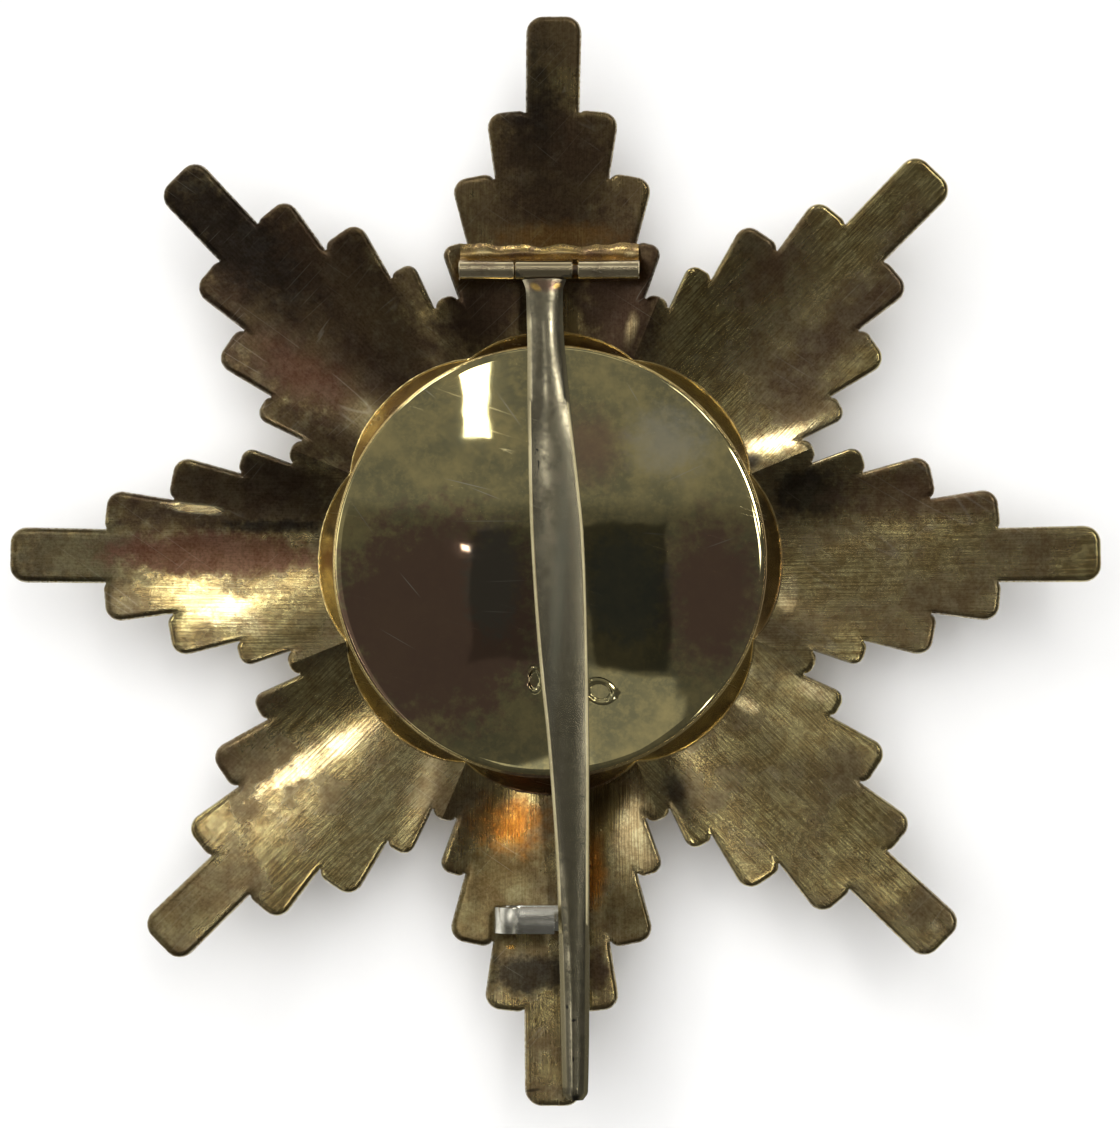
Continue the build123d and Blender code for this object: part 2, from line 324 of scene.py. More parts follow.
def inside(point):
    """Whether a point lies within the arm's outline, judged by its ray's reach."""
    angle = abs(math.degrees(math.atan2(point[1], point[0])))
    for ray in RAYS:
        if ray.start <= angle <= ray.stop:
            middle = math.radians((ray.start + ray.stop) / 2)
            along = point[0] * math.cos(middle) + abs(point[1]) * math.sin(middle)
            reach = ray.reach
            if ray is RAYS[0] and abs(point[1]) < ROOT_HALF + (TIP_HALF - ROOT_HALF) * point[0] / TIP_X:
                reach = TIP_X
            return along < reach
    return point[0] < TIP_X


back = arm_face([0, 0.05, 0.13, 0.24, 0.37, 0.52], RIDGE_DEG / 26, 0.75, 0.75)
grooves = [(sign * ray.start, ray.reach) for ray in RAYS for sign in (-1, 1)]
front = arm_face([0, 0.1, 0.28], RIDGE_DEG / 20, 1.0, 0.4, grooves)
print("back", len(back[1]), "triangles, front", len(front[1]), "triangles")

# %% [markdown]
# Both faces get their heights, and a wall along the outline joins them. Three values are kept on the
# mesh for later: where a point lies along and across its arm, which the brush marks follow, how far it
# is from the outline, which the worn edge follows, and which face it is on.

# %% Lift, join and mark one arm
def lifted_arm():
    (flat_back, back_faces, back_ring, back_inner) = back
    (flat_front, front_faces, front_ring, front_inner) = front
    edge_back = distance_to_line(flat_back, outline)
    edge_front = distance_to_line(flat_front, outline)
    top = back_height(flat_back[:, 0], flat_back[:, 1]) - eased(edge_back, EDGE_WIDTH, EDGE_DEPTH)
    front_rim = eased(edge_front, FRONT_EDGE_WIDTH, FRONT_EDGE_DEPTH)
    low = front_height(flat_front[:, 0], flat_front[:, 1]) + front_rim
    points = np.vstack([np.column_stack([flat_back, top]), np.column_stack([flat_front, low])])
    shift = len(flat_back)
    faces = back_faces + [[index + shift for index in reversed(face)] for face in front_faces]
    front_ring = [index + shift for index in front_ring]
    front_inner = [index + shift for index in front_inner]
    for upper_line, lower_line in ((back_ring, front_ring), (back_inner, front_inner)):
        for step in range(len(upper_line) - 1):
            faces.append([upper_line[step], lower_line[step], lower_line[step + 1], upper_line[step + 1]])
    made = mesh_object("arm_blank", points, faces)
    marks = {
        "edge_mm": np.concatenate([edge_back, edge_front]),
        "front": np.repeat([0.0, 1.0], [len(flat_back), len(flat_front)]),
    }
    for key, values in marks.items():
        made.data.attributes.new(key, "FLOAT", "POINT").data.foreach_set("value", values.astype(np.float32))
    corners = np.zeros(len(made.data.loops), np.int32)
    made.data.loops.foreach_get("vertex_index", corners)
    layer = made.data.uv_layers.new(name="brush")
    layer.data.foreach_set("uv", (points[corners, :2] * MM).astype(np.float32).ravel())
    return made


arm_blank = lifted_arm()
print("one arm has", len(arm_blank.data.polygons), "faces")

# %% [markdown]
# Eight arms from one
#
# The arms repeat round the centre, so a Geometry Nodes tree places the blank on eight points. Each point
# carries its arm's own departures, because the arms were filed and bent by hand: how much further out
# its tip and its side rays end, and how far it leans sideways. A faint waviness, with a fixed seed,
# stands for the uneven hand finish. The ridge lines are welded at the end.

# %% The arms' own departures
Arm = namedtuple("Arm", "name turn tip_shift side_shift lean film")
ARM_TABLE = [
    Arm(name="east", turn=0, tip_shift=0, side_shift=0, lean=0, film=0.5),
    Arm(name="northeast", turn=45, tip_shift=0, side_shift=0, lean=0, film=0.5),
    Arm(name="north", turn=90, tip_shift=0, side_shift=0.33, lean=-0.23, film=0.62),
    Arm(name="northwest", turn=135, tip_shift=-0.55, side_shift=0.2, lean=-0.25, film=0.56),
    Arm(name="west", turn=180, tip_shift=-0.4, side_shift=0.05, lean=0, film=0.5),
    Arm(name="southwest", turn=225, tip_shift=0, side_shift=0.3, lean=0, film=0.5),
    Arm(name="south", turn=270, tip_shift=-0.25, side_shift=0.3, lean=0.25, film=0.52),
    Arm(name="southeast", turn=315, tip_shift=-0.15, side_shift=-0.25, lean=0.27, film=0.48),
]


def points_object(name, places, **marks):
    """Loose points in millimetres that carry numbers for a node tree."""
    mesh = bpy.data.meshes.new(name)
    mesh.from_pydata([tuple(value * MM for value in point) for point in places], [], [])
    for key, values in marks.items():
        mesh.attributes.new(key, "FLOAT", "POINT").data.foreach_set("value", np.array(values, np.float32))
    made = bpy.data.objects.new(name, mesh)
    bpy.context.scene.collection.objects.link(made)
    return made


arm_marks = points_object(
    "star_arms",
    [(0, 0, 0)] * ARMS,
    turn=[math.radians(arm.turn) for arm in ARM_TABLE],
    tip_shift=[arm.tip_shift * MM for arm in ARM_TABLE],
    side_shift=[arm.side_shift * MM for arm in ARM_TABLE],
    lean=[arm.lean * MM for arm in ARM_TABLE],
    film=[arm.film for arm in ARM_TABLE],
)
print(len(arm_marks.data.vertices), "arms to place")


# %% The tree that places them
def new_tree(name, inputs):
    """A geometry tree with named inputs, given as name, socket type and starting value."""
    tree = bpy.data.node_groups.new(name, "GeometryNodeTree")
    tree.interface.new_socket(name="Geometry", in_out="INPUT", socket_type="NodeSocketGeometry")
    tree.interface.new_socket(name="Geometry", in_out="OUTPUT", socket_type="NodeSocketGeometry")
    for key, kind, value in inputs:
        socket = tree.interface.new_socket(name=key, in_out="INPUT", socket_type=kind)
        if value is not None:
            socket.default_value = value
    return tree, node(tree, "NodeGroupInput").outputs, node(tree, "NodeGroupOutput").inputs


def read_mark(tree, key, kind="FLOAT"):
    made = node(tree, "GeometryNodeInputNamedAttribute", {"Name": key}, data_type=kind)
    return made.outputs["Attribute"]


def finish_tree(tree, result, material, outputs):
    """The tree's last steps: real geometry instead of instances, and its material."""
    real = node(tree, "GeometryNodeRealizeInstances", {"Geometry": result})
    coated = node(tree, "GeometryNodeSetMaterial", {"Geometry": real.outputs[0], "Material": material})
    tree.links.new(coated.outputs[0], outputs["Geometry"])


def run_tree(made, tree, **values):
    """Feeds a tree's named inputs, evaluates it once and keeps its result as a plain mesh."""
    modifier = made.modifiers.new(tree.name, "NODES")
    modifier.node_group = tree
    for item in tree.interface.items_tree:
        key = item.name.lower().replace(" ", "_")
        if item.in_out == "INPUT" and key in values:
            modifier[item.identifier] = values[key]
    evaluated = made.evaluated_get(bpy.context.evaluated_depsgraph_get())
    mesh = bpy.data.meshes.new_from_object(evaluated)
    made.modifiers.remove(modifier)
    source, made.data = made.data, mesh
    bpy.data.meshes.remove(source)
    mesh.name = made.name
    return made


FREE_R = 22.6
TIP_FROM, TIP_TO = 36.0, 41.0
SIDE_FROM, SIDE_TO = 35.2, 38.5


def arms_tree():
    tree, given, outputs = new_tree(
        "star_of_arms",
        [
            ("Arm", "NodeSocketObject", None),
            ("Free Radius", "NodeSocketFloat", FREE_R * MM),
            ("Reach", "NodeSocketFloat", TIP_X * MM),
            ("Waviness", "NodeSocketFloat", 0.0),
            ("Wave Size", "NodeSocketFloat", 7 * MM),
            ("Seed", "NodeSocketFloat", 0.0),
            ("Finish", "NodeSocketMaterial", None),
        ],
    )
    blank = node(tree, "GeometryNodeObjectInfo", {"Object": given["Arm"]})
    turn = node(tree, "ShaderNodeCombineXYZ", {"Z": read_mark(tree, "turn")})
    placed = node(
        tree,
        "GeometryNodeInstanceOnPoints",
        {"Points": given["Geometry"], "Instance": blank.outputs["Geometry"], "Rotation": turn.outputs[0]},
    )
    real = node(tree, "GeometryNodeRealizeInstances", {"Geometry": placed.outputs[0]}).outputs[0]
    place_now = node(tree, "GeometryNodeInputPosition").outputs[0]
    flat = vector_calc(tree, "MULTIPLY", place_now, (1, 1, 0))
    radius = vector_calc(tree, "LENGTH", flat, output="Value")
    outwards = vector_calc(tree, "NORMALIZE", flat)
    tip_share = ease(tree, radius, TIP_FROM * MM, TIP_TO * MM)
    side_share = calc(
        tree,
        "MULTIPLY",
        ease(tree, radius, given["Free Radius"], 25.2 * MM),
        ease(tree, radius, SIDE_FROM * MM, SIDE_TO * MM, 1, 0),
    )
    radial = calc(
        tree,
        "ADD",
        calc(tree, "MULTIPLY", tip_share, read_mark(tree, "tip_shift")),
        calc(tree, "MULTIPLY", side_share, read_mark(tree, "side_shift")),
    )
    free = calc(
        tree,
        "DIVIDE",
        calc(tree, "SUBTRACT", radius, given["Free Radius"]),
        calc(tree, "SUBTRACT", given["Reach"], given["Free Radius"]),
        clamp=True,
    )
    bend = calc(tree, "MULTIPLY", free, free)
    turned = calc(tree, "ADD", read_mark(tree, "turn"), math.pi / 2)
    sideways = node(
        tree, "ShaderNodeCombineXYZ", {"X": calc(tree, "COSINE", turned), "Y": calc(tree, "SINE", turned)}
    ).outputs[0]
    waves = node(
        tree,
        "ShaderNodeTexNoise",
        {
            "Vector": flat,
            "W": given["Seed"],
            "Scale": calc(tree, "DIVIDE", 1, given["Wave Size"]),
            "Detail": 1.0,
        },
        noise_dimensions="4D",
    ).outputs[0]
    swell = calc(tree, "MULTIPLY", calc(tree, "SUBTRACT", waves, 0.5), given["Waviness"])
    raised = node(tree, "ShaderNodeCombineXYZ", {"Z": swell}).outputs[0]
    leaning = vector_calc(tree, "SCALE", sideways, calc(tree, "MULTIPLY", bend, read_mark(tree, "lean")))
    offset = vector_calc(tree, "ADD", vector_calc(tree, "SCALE", outwards, radial), leaning)
    moved = vector_calc(tree, "ADD", offset, raised)
    shaped = node(tree, "GeometryNodeSetPosition", {"Geometry": real, "Offset": moved})
    welded = node(tree, "GeometryNodeMergeByDistance", {"Geometry": shaped.outputs[0], "Distance": 1e-6})
    finish_tree(tree, welded.outputs[0], given["Finish"], outputs)
    return tree


# %% [markdown]
# Shared effects
#
# Four effects come back in several finishes, so each is a shader node group. Tarnish is a cloudy mask.
# Brush marks are fine lines along one direction. Scratches are sparse thin lines that cross at random.
# A spot is a soft round mask at one place, for a stain, a pit, a blob of solder or a patch of painted
# highlight, shade or reflection. The groups give only masks and heights. What they do to colour and
# gloss is decided in each material.

# %% Build the effect groups
def shader_group(name, inputs, outputs):
    tree = bpy.data.node_groups.new(name, "ShaderNodeTree")
    for key, kind, value in inputs:
        tree.interface.new_socket(name=key, in_out="INPUT", socket_type=kind).default_value = value
    for key in outputs:
        tree.interface.new_socket(name=key, in_out="OUTPUT", socket_type="NodeSocketFloat")
    return tree, node(tree, "NodeGroupInput").outputs, node(tree, "NodeGroupOutput").inputs


FLOAT, VECTOR = "NodeSocketFloat", "NodeSocketVector"


def cloud(tree, vector, scale, detail=4.0, roughness=0.6, seed=0.0, distortion=0.0):
    """Noise between 0 and 1. The seed moves the place where the noise is read."""
    feeds = {"Scale": scale, "Detail": detail, "Roughness": roughness, "Distortion": distortion}
    feeds["Vector"] = vector if seed == 0.0 else vector_calc(tree, "ADD", vector, seed)
    return node(tree, "ShaderNodeTexNoise", feeds).outputs[0]


def tarnish_group():
    inputs = [("Vector", VECTOR, (0, 0, 0)), ("Size", FLOAT, 8 * MM), ("Amount", FLOAT, 0.5)]
    inputs += [("Softness", FLOAT, 0.15), ("Seed", VECTOR, (0, 0, 0))]
    tree, given, results = shader_group("tarnish_clouds", inputs, ["Mask", "Grain"])
    scale = calc(tree, "DIVIDE", 1, given["Size"])
    mask = cloud(tree, given["Vector"], scale, 4.0, 0.65, given["Seed"])
    middle = calc(tree, "SUBTRACT", 1, given["Amount"])
    low = calc(tree, "SUBTRACT", middle, given["Softness"])
    high = calc(tree, "ADD", middle, given["Softness"])
    tree.links.new(ease(tree, mask, low, high), results["Mask"])
    fine = cloud(tree, given["Vector"], calc(tree, "MULTIPLY", scale, 6), 3.0, 0.75, given["Seed"])
    tree.links.new(fine, results["Grain"])
    return tree


def brush_group():
    inputs = [("Vector", VECTOR, (0, 0, 0)), ("Seed", VECTOR, (0, 0, 0))]
    inputs += [("Line Width", FLOAT, 0.06 * MM), ("Line Length", FLOAT, 3 * MM)]
    tree, given, results = shader_group("brush_marks", inputs, ["Height"])
    stretch = node(
        tree,
        "ShaderNodeCombineXYZ",
        {
            "X": calc(tree, "DIVIDE", 1, given["Line Length"]),
            "Y": calc(tree, "DIVIDE", 1, given["Line Width"]),
            "Z": calc(tree, "DIVIDE", 1, given["Line Width"]),
        },
    ).outputs[0]
    drawn_out = vector_calc(tree, "MULTIPLY", given["Vector"], stretch)
    lines = cloud(tree, drawn_out, 1.0, 2.0, 0.5, given["Seed"])
    tree.links.new(lines, results["Height"])
    return tree


def scratch_group():
    inputs = [("Vector", VECTOR, (0, 0, 0)), ("Spacing", FLOAT, 2 * MM), ("Thinness", FLOAT, 0.012)]
    inputs += [("Turn", FLOAT, 0.3), ("Seed", VECTOR, (0, 0, 0))]
    tree, given, results = shader_group("stray_scratches", inputs, ["Mask"])
    feeds = {"Vector": given["Vector"], "Angle": given["Turn"]}
    turned_place = node(tree, "ShaderNodeVectorRotate", feeds, rotation_type="Z_AXIS").outputs[0]
    scaled = vector_calc(tree, "SCALE", turned_place, calc(tree, "DIVIDE", 1, given["Spacing"]))
    long_way = vector_calc(tree, "MULTIPLY", scaled, (0.05, 1.0, 0.0))
    winding = cloud(tree, long_way, 1.0, 0.0, 0, given["Seed"])
    off_line = calc(tree, "ABSOLUTE", calc(tree, "SUBTRACT", winding, 0.5))
    line = ease(tree, off_line, 0, given["Thinness"], 1, 0)
    broken = ease(tree, cloud(tree, scaled, 0.4, 1.0, 0.6, given["Seed"]), 0.5, 0.6)
    tree.links.new(calc(tree, "MULTIPLY", line, broken), results["Mask"])
    return tree


def spot_group():
    """A soft oval. Its two axes are unit directions, each divided by the oval's radius along it."""
    inputs = [("Vector", VECTOR, (0, 0, 0)), ("Centre", VECTOR, (0, 0, 0)), ("Across", VECTOR, (1, 0, 0))]
    inputs += [("Along", VECTOR, (0, 1, 0)), ("Soft", FLOAT, 0.5), ("Ragged", FLOAT, 0.0)]
    tree, given, results = shader_group("spot", inputs, ["Mask"])
    offset = vector_calc(tree, "SUBTRACT", given["Vector"], given["Centre"])
    across = vector_calc(tree, "DOT_PRODUCT", offset, given["Across"], output="Value")
    along = vector_calc(tree, "DOT_PRODUCT", offset, given["Along"], output="Value")
    square = calc(tree, "MULTIPLY_ADD", across, across, calc(tree, "MULTIPLY", along, along))
    share = calc(tree, "ADD", calc(tree, "SQRT", square), given["Ragged"])
    inner = calc(tree, "SUBTRACT", 1, given["Soft"])
    tree.links.new(ease(tree, share, inner, 1.0, 1, 0), results["Mask"])
    return tree


TARNISH, BRUSH, SCRATCH, SPOT = tarnish_group(), brush_group(), scratch_group(), spot_group()
print("effect groups:", [group.name for group in (TARNISH, BRUSH, SCRATCH, SPOT)])


# %% Use the effect groups
def effect(tree, group, feeds, output):
    made = node(tree, "ShaderNodeGroup", node_tree=group)
    for key, value in feeds.items():
        if isinstance(value, bpy.types.NodeSocket):
            tree.links.new(value, made.inputs[key])
        else:
            made.inputs[key].default_value = value
    return made.outputs[output]


def blend(tree, share, first, second, kind="MIX"):
    """A mix of two colours by a share."""
    made = node(tree, "ShaderNodeMix", data_type="RGBA", blend_type=kind)
    for index, value in ((0, share), (6, first), (7, second)):
        if isinstance(value, bpy.types.NodeSocket):
            tree.links.new(value, made.inputs[index])
        else:
            made.inputs[index].default_value = value if index == 0 else (*value, 1)
    return made.outputs[2]


def metal(name, **constants):
    """A material with a metallic Principled shader, its tree, its shader and object coordinates."""
    made = bpy.data.materials.new(name)
    made.use_nodes = True
    tree = made.node_tree
    shader = next(item for item in tree.nodes if item.type == "BSDF_PRINCIPLED")
    shader.inputs["Metallic"].default_value = 1.0
    for key, value in constants.items():
        shader.inputs[key.replace("_", " ").title()].default_value = value
    coordinates = node(tree, "ShaderNodeTexCoord").outputs["Object"]
    return made, tree, shader, coordinates


def bumped(tree, height, distance_mm, strength=1.0, normal=None):
    feeds = {"Height": height, "Distance": distance_mm * MM, "Strength": strength}
    if normal is not None:
        feeds["Normal"] = normal
    return node(tree, "ShaderNodeBump", feeds).outputs[0]


def wire_up(tree, shader, colour, roughness, normal):
    tree.links.new(colour, shader.inputs["Base Color"])
    tree.links.new(roughness, shader.inputs["Roughness"])
    tree.links.new(normal, shader.inputs["Normal"])

# %% [markdown]
# Turned and lofted shapes
#
# The hub, the cover, the knuckles and the front fittings are turned shapes. The pin, the catch and the
# solder are rows of cross-sections. These helpers return points and faces, so that several shells can
# be put together before one mesh is made of them.

# %% Turned and lofted shapes
HUB = np.array([-0.15, -0.3])


def rounded(corners, count=3):
    """A line in which each corner (u, v, radius) becomes an arc; radius 0 keeps the corner."""
    line = []
    for index, (u, v, radius) in enumerate(corners):
        here = np.array([u, v], float)
        if radius == 0:
            line.append(here)
            continue
        before = np.array(corners[index - 1][:2], float) - here
        after = np.array(corners[(index + 1) % len(corners)][:2], float) - here
        before /= np.linalg.norm(before)
        after /= np.linalg.norm(after)
        half = math.acos(np.clip(before @ after, -1, 1)) / 2
        middle = (before + after) / np.linalg.norm(before + after)
        centre = here + middle * radius / math.sin(half)
        start = here + before * radius / math.tan(half) - centre
        stop = here + after * radius / math.tan(half) - centre
        for share in np.linspace(0, 1, count):
            direction = start * (1 - share) + stop * share
            line.append(centre + radius * direction / np.linalg.norm(direction))
    return np.array(line)


def turned(profile, steps, centre=(0, 0), closed=False):
    """Points and faces turned about a vertical axis, from a profile of (radius, height)."""
    points, rows, faces = [], [], []
    for radius, height in profile:
        if radius < 1e-6:
            rows.append([len(points)] * steps)
            points.append((*centre, height))
            continue
        rows.append(list(range(len(points), len(points) + steps)))
        points += [(*(polar(radius, 360 * step / steps) + centre), height) for step in range(steps)]
    for low, high in zip(rows, rows[1:] + rows[: int(closed)]):
        for step in range(steps):
            after = (step + 1) % steps
            corners = list(dict.fromkeys([low[step], low[after], high[after], high[step]]))
            if len(corners) > 2:
                faces.append(corners)
    return np.array(points), faces


def lofted(rings, caps=True):
    """Points and faces through rings of equal length, with a fan over each end."""
    rings = np.array(rings)
    rows, around = rings.shape[:2]
    points, faces = list(rings.reshape(-1, 3)), []
    for row in range(rows - 1):
        for step in range(around):
            here, after = row * around + step, row * around + (step + 1) % around
            faces.append([here, after, after + around, here + around])
    for row in (0, rows - 1) if caps else ():
        points.append(rings[row].mean(0))
        first = row * around
        faces += [[first + step, first + (step + 1) % around, len(points) - 1] for step in range(around)]
    return np.array(points), faces


def joined(*shells):
    """Several shells as one list of points and one list of faces."""
    points, faces = [], []
    for shell_points, shell_faces in shells:
        faces += [[index + len(points) for index in face] for face in shell_faces]
        points += list(shell_points)
    return np.array(points), faces


def waves(points, size, seed=0.0):
    """Smooth noise between about -1 and 1 at each point, size in millimetres."""
    places = [Vector([float(value) / size + seed for value in point]) for point in points]
    return np.array([noise.noise(spot) for spot in places])


def solid(name, shell, merge_mm=0.002, crease_deg=35):
    """A closed mesh object from points and faces."""
    made = mesh_object(name, *shell)
    tidy_mesh(made.data, merge_mm, crease_deg)
    return made


# %% [markdown]
# The finishes
#
# Every piece below takes its finish from here. A metal is built from the effect groups: clean metal, a
# film of tarnish over it, and fine wear on top. Each stain, each lighter patch of polish and painted
# highlight, each patch of painted shade or reflection and each long scratch is a charted row of a table:
# its place, its size and turn in the star's plane, how soft its edge is, how strongly it shows and its
# colour. Later rows lie on top of earlier ones.

# %% Materials
GILT = (0.8, 0.67, 0.3)
OLIVE = (0.4, 0.37, 0.2)
BROWN = (0.24, 0.15, 0.1)
PURPLE = (0.13, 0.085, 0.065)
RUST = (0.18, 0.09, 0.06)
BLACK = (0.04, 0.035, 0.03)
# Orange of the glints on the lower arm: painted reflection.
ORANGE = (0.62, 0.26, 0.035)
PALE = (0.8, 0.76, 0.62)
SILVER = (0.78, 0.76, 0.63)
GREY_FILM = (0.36, 0.35, 0.26)
DEEP_GOLD = (0.8, 0.55, 0.17)
# Lighter gilt where highlights fall: partly polish, partly painted highlight.
POLISH_AND_HIGHLIGHT = (0.86, 0.75, 0.43)
UMBER = (0.085, 0.055, 0.042)
AMBER = (0.45, 0.27, 0.09)
REDDISH = (0.38, 0.23, 0.165)
OLD_GILT = (0.6, 0.52, 0.25)
DARK_OLIVE = (0.19, 0.155, 0.075)
RED_BROWN = (0.19, 0.115, 0.08)

Stain = namedtuple("Stain", "x y wide tall turn soft strength colour")
STAR_STAINS_AND_PAINTED_LIGHT = [
    # north: the two dark patches just below the hinge are painted shadow of the hinge; the darker outer arm
    # and its black tip are painted shade, where the rising tip faces away from the light; the small lighter
    # patch is a painted highlight
    Stain(x=5.5, y=20.5, wide=10, tall=16, turn=0, soft=0.6, strength=0.9, colour=UMBER),
    Stain(x=-5.5, y=20.5, wide=9, tall=12, turn=0, soft=0.6, strength=0.8, colour=UMBER),
    Stain(x=0, y=31, wide=15, tall=16, turn=0, soft=0.6, strength=0.7, colour=UMBER),
    Stain(x=-1.5, y=36, wide=7, tall=18, turn=0, soft=0.9, strength=0.8, colour=BLACK),
    Stain(x=0.3, y=25.4, wide=15, tall=3.2, turn=0, soft=0.8, strength=0.75, colour=AMBER),
    Stain(x=6.3, y=18.0, wide=1.4, tall=3.6, turn=-12, soft=0.9, strength=0.6, colour=POLISH_AND_HIGHLIGHT),
    # northwest
    Stain(x=-19, y=19, wide=34, tall=20, turn=-45, soft=0.5, strength=0.8, colour=UMBER),
    Stain(x=-14.5, y=19.5, wide=18, tall=5, turn=-52, soft=0.8, strength=0.5, colour=(0.27, 0.21, 0.12)),
    Stain(x=-19.5, y=14.5, wide=13, tall=6, turn=-35, soft=0.8, strength=0.6, colour=RUST),
    Stain(x=-14.5, y=11.0, wide=6, tall=5, turn=-30, soft=0.8, strength=0.5, colour=OLIVE),
    Stain(x=-25.5, y=25.5, wide=24, tall=9, turn=-45, soft=0.7, strength=0.85, colour=BLACK),
    # west: the dark upper half and the black tip are painted shade, where the gutter's upper side and the
    # rising tip face away from the light; the two lighter patches are painted highlights
    Stain(x=-37, y=0, wide=18, tall=8, turn=0, soft=0.7, strength=0.75, colour=BLACK),
    Stain(x=-25, y=5, wide=30, tall=8, turn=0, soft=0.5, strength=0.8, colour=UMBER),
    Stain(x=-26.5, y=0.2, wide=22, tall=4.6, turn=0, soft=0.5, strength=0.9, colour=RUST),
    Stain(x=-22.5, y=2.5, wide=12, tall=1.5, turn=0, soft=0.7, strength=0.85, colour=BLACK),
    Stain(x=-28.1, y=3.8, wide=7, tall=1.0, turn=-6, soft=0.7, strength=0.95, colour=POLISH_AND_HIGHLIGHT),
    Stain(x=-25.8, y=-4.1, wide=9.5, tall=3.4, turn=-22, soft=0.5, strength=0.9, colour=POLISH_AND_HIGHLIGHT),
    # southwest: the lighter streak is a painted highlight
    Stain(x=-24.5, y=-12.5, wide=14, tall=8, turn=45, soft=0.9, strength=0.7, colour=RED_BROWN),
    Stain(x=-29, y=-28, wide=16, tall=7, turn=45, soft=0.7, strength=0.5, colour=DARK_OLIVE),
    Stain(x=-14, y=-20, wide=20, tall=8, turn=60, soft=0.8, strength=0.6, colour=OLIVE),
    Stain(x=-17.9, y=-15.5, wide=14, tall=2.6, turn=31, soft=0.6, strength=0.95, colour=POLISH_AND_HIGHLIGHT),
    # south: the orange patches are painted orange glints, the lighter patches are painted highlights, and
    # the thin black line across the tip is painted shade
    Stain(x=-5.5, y=-28.5, wide=9, tall=9, turn=0, soft=0.7, strength=0.8, colour=DARK_OLIVE),
    Stain(x=6.5, y=-28, wide=6, tall=7, turn=0, soft=0.7, strength=0.7, colour=DARK_OLIVE),
    Stain(x=-3.8, y=-24.4, wide=10, tall=9, turn=0, soft=0.8, strength=0.9, colour=(0.15, 0.11, 0.045)),
    Stain(x=-3.4, y=-20.9, wide=8.6, tall=6.4, turn=0, soft=0.9, strength=0.9, colour=ORANGE),
    Stain(x=-2.6, y=-25.8, wide=4, tall=3, turn=30, soft=0.9, strength=0.5, colour=OLIVE),
    Stain(x=6.2, y=-21.6, wide=5.2, tall=9, turn=8, soft=0.7, strength=0.85, colour=POLISH_AND_HIGHLIGHT),
    Stain(x=3.2, y=-24.5, wide=3, tall=8, turn=0, soft=0.8, strength=0.85, colour=ORANGE),
    Stain(x=5.6, y=-27.6, wide=5, tall=4, turn=0, soft=0.7, strength=0.7, colour=DARK_OLIVE),
    Stain(x=-1.5, y=-32.4, wide=9, tall=4, turn=0, soft=0.5, strength=0.9, colour=BLACK),
    Stain(x=3.6, y=-32.0, wide=2.6, tall=4.5, turn=0, soft=0.6, strength=0.85, colour=UMBER),
    Stain(x=-3.1, y=-30.3, wide=0.9, tall=0.5, turn=0, soft=0.6, strength=0.95, colour=DEEP_GOLD),
    Stain(x=0.1, y=-30.0, wide=0.9, tall=0.75, turn=0, soft=0.6, strength=0.95, colour=POLISH_AND_HIGHLIGHT),
    Stain(x=-1.3, y=-41.0, wide=1.6, tall=0.35, turn=8, soft=0.6, strength=0.8, colour=BLACK),
    # southeast: the two lighter patches are painted highlights
    Stain(x=9.6, y=-18.3, wide=2.4, tall=7, turn=18, soft=0.7, strength=0.8, colour=BLACK),
    Stain(x=15.4, y=-11.6, wide=2.4, tall=1.7, turn=-20, soft=0.7, strength=0.95, colour=POLISH_AND_HIGHLIGHT),
    Stain(x=20.5, y=-10.3, wide=4.8, tall=2.4, turn=-32, soft=0.7, strength=0.85, colour=POLISH_AND_HIGHLIGHT),
    # east: the dark upper half is painted shade, where the gutter's upper side faces away from the light;
    # the lighter patch near the collar is a painted highlight
    Stain(x=20.5, y=5, wide=9, tall=6, turn=0, soft=0.6, strength=0.85, colour=BLACK),
    Stain(x=29, y=5, wide=20, tall=7, turn=0, soft=0.7, strength=0.75, colour=RED_BROWN),
    Stain(x=18.6, y=-2.9, wide=1.9, tall=3.8, turn=-10, soft=0.5, strength=0.85, colour=POLISH_AND_HIGHLIGHT),
    # northeast: the lighter patch near the collar is a painted highlight
    Stain(x=23, y=18, wide=28, tall=7, turn=45, soft=0.8, strength=0.75, colour=PURPLE),
    Stain(x=17, y=22, wide=14, tall=5, turn=55, soft=0.8, strength=0.5, colour=RED_BROWN),
    Stain(x=18.4, y=9.4, wide=8.5, tall=2.6, turn=14, soft=0.7, strength=0.9, colour=POLISH_AND_HIGHLIGHT),
    Stain(x=15.4, y=7.4, wide=1.6, tall=3, turn=-60, soft=0.6, strength=0.9, colour=BLACK),
]
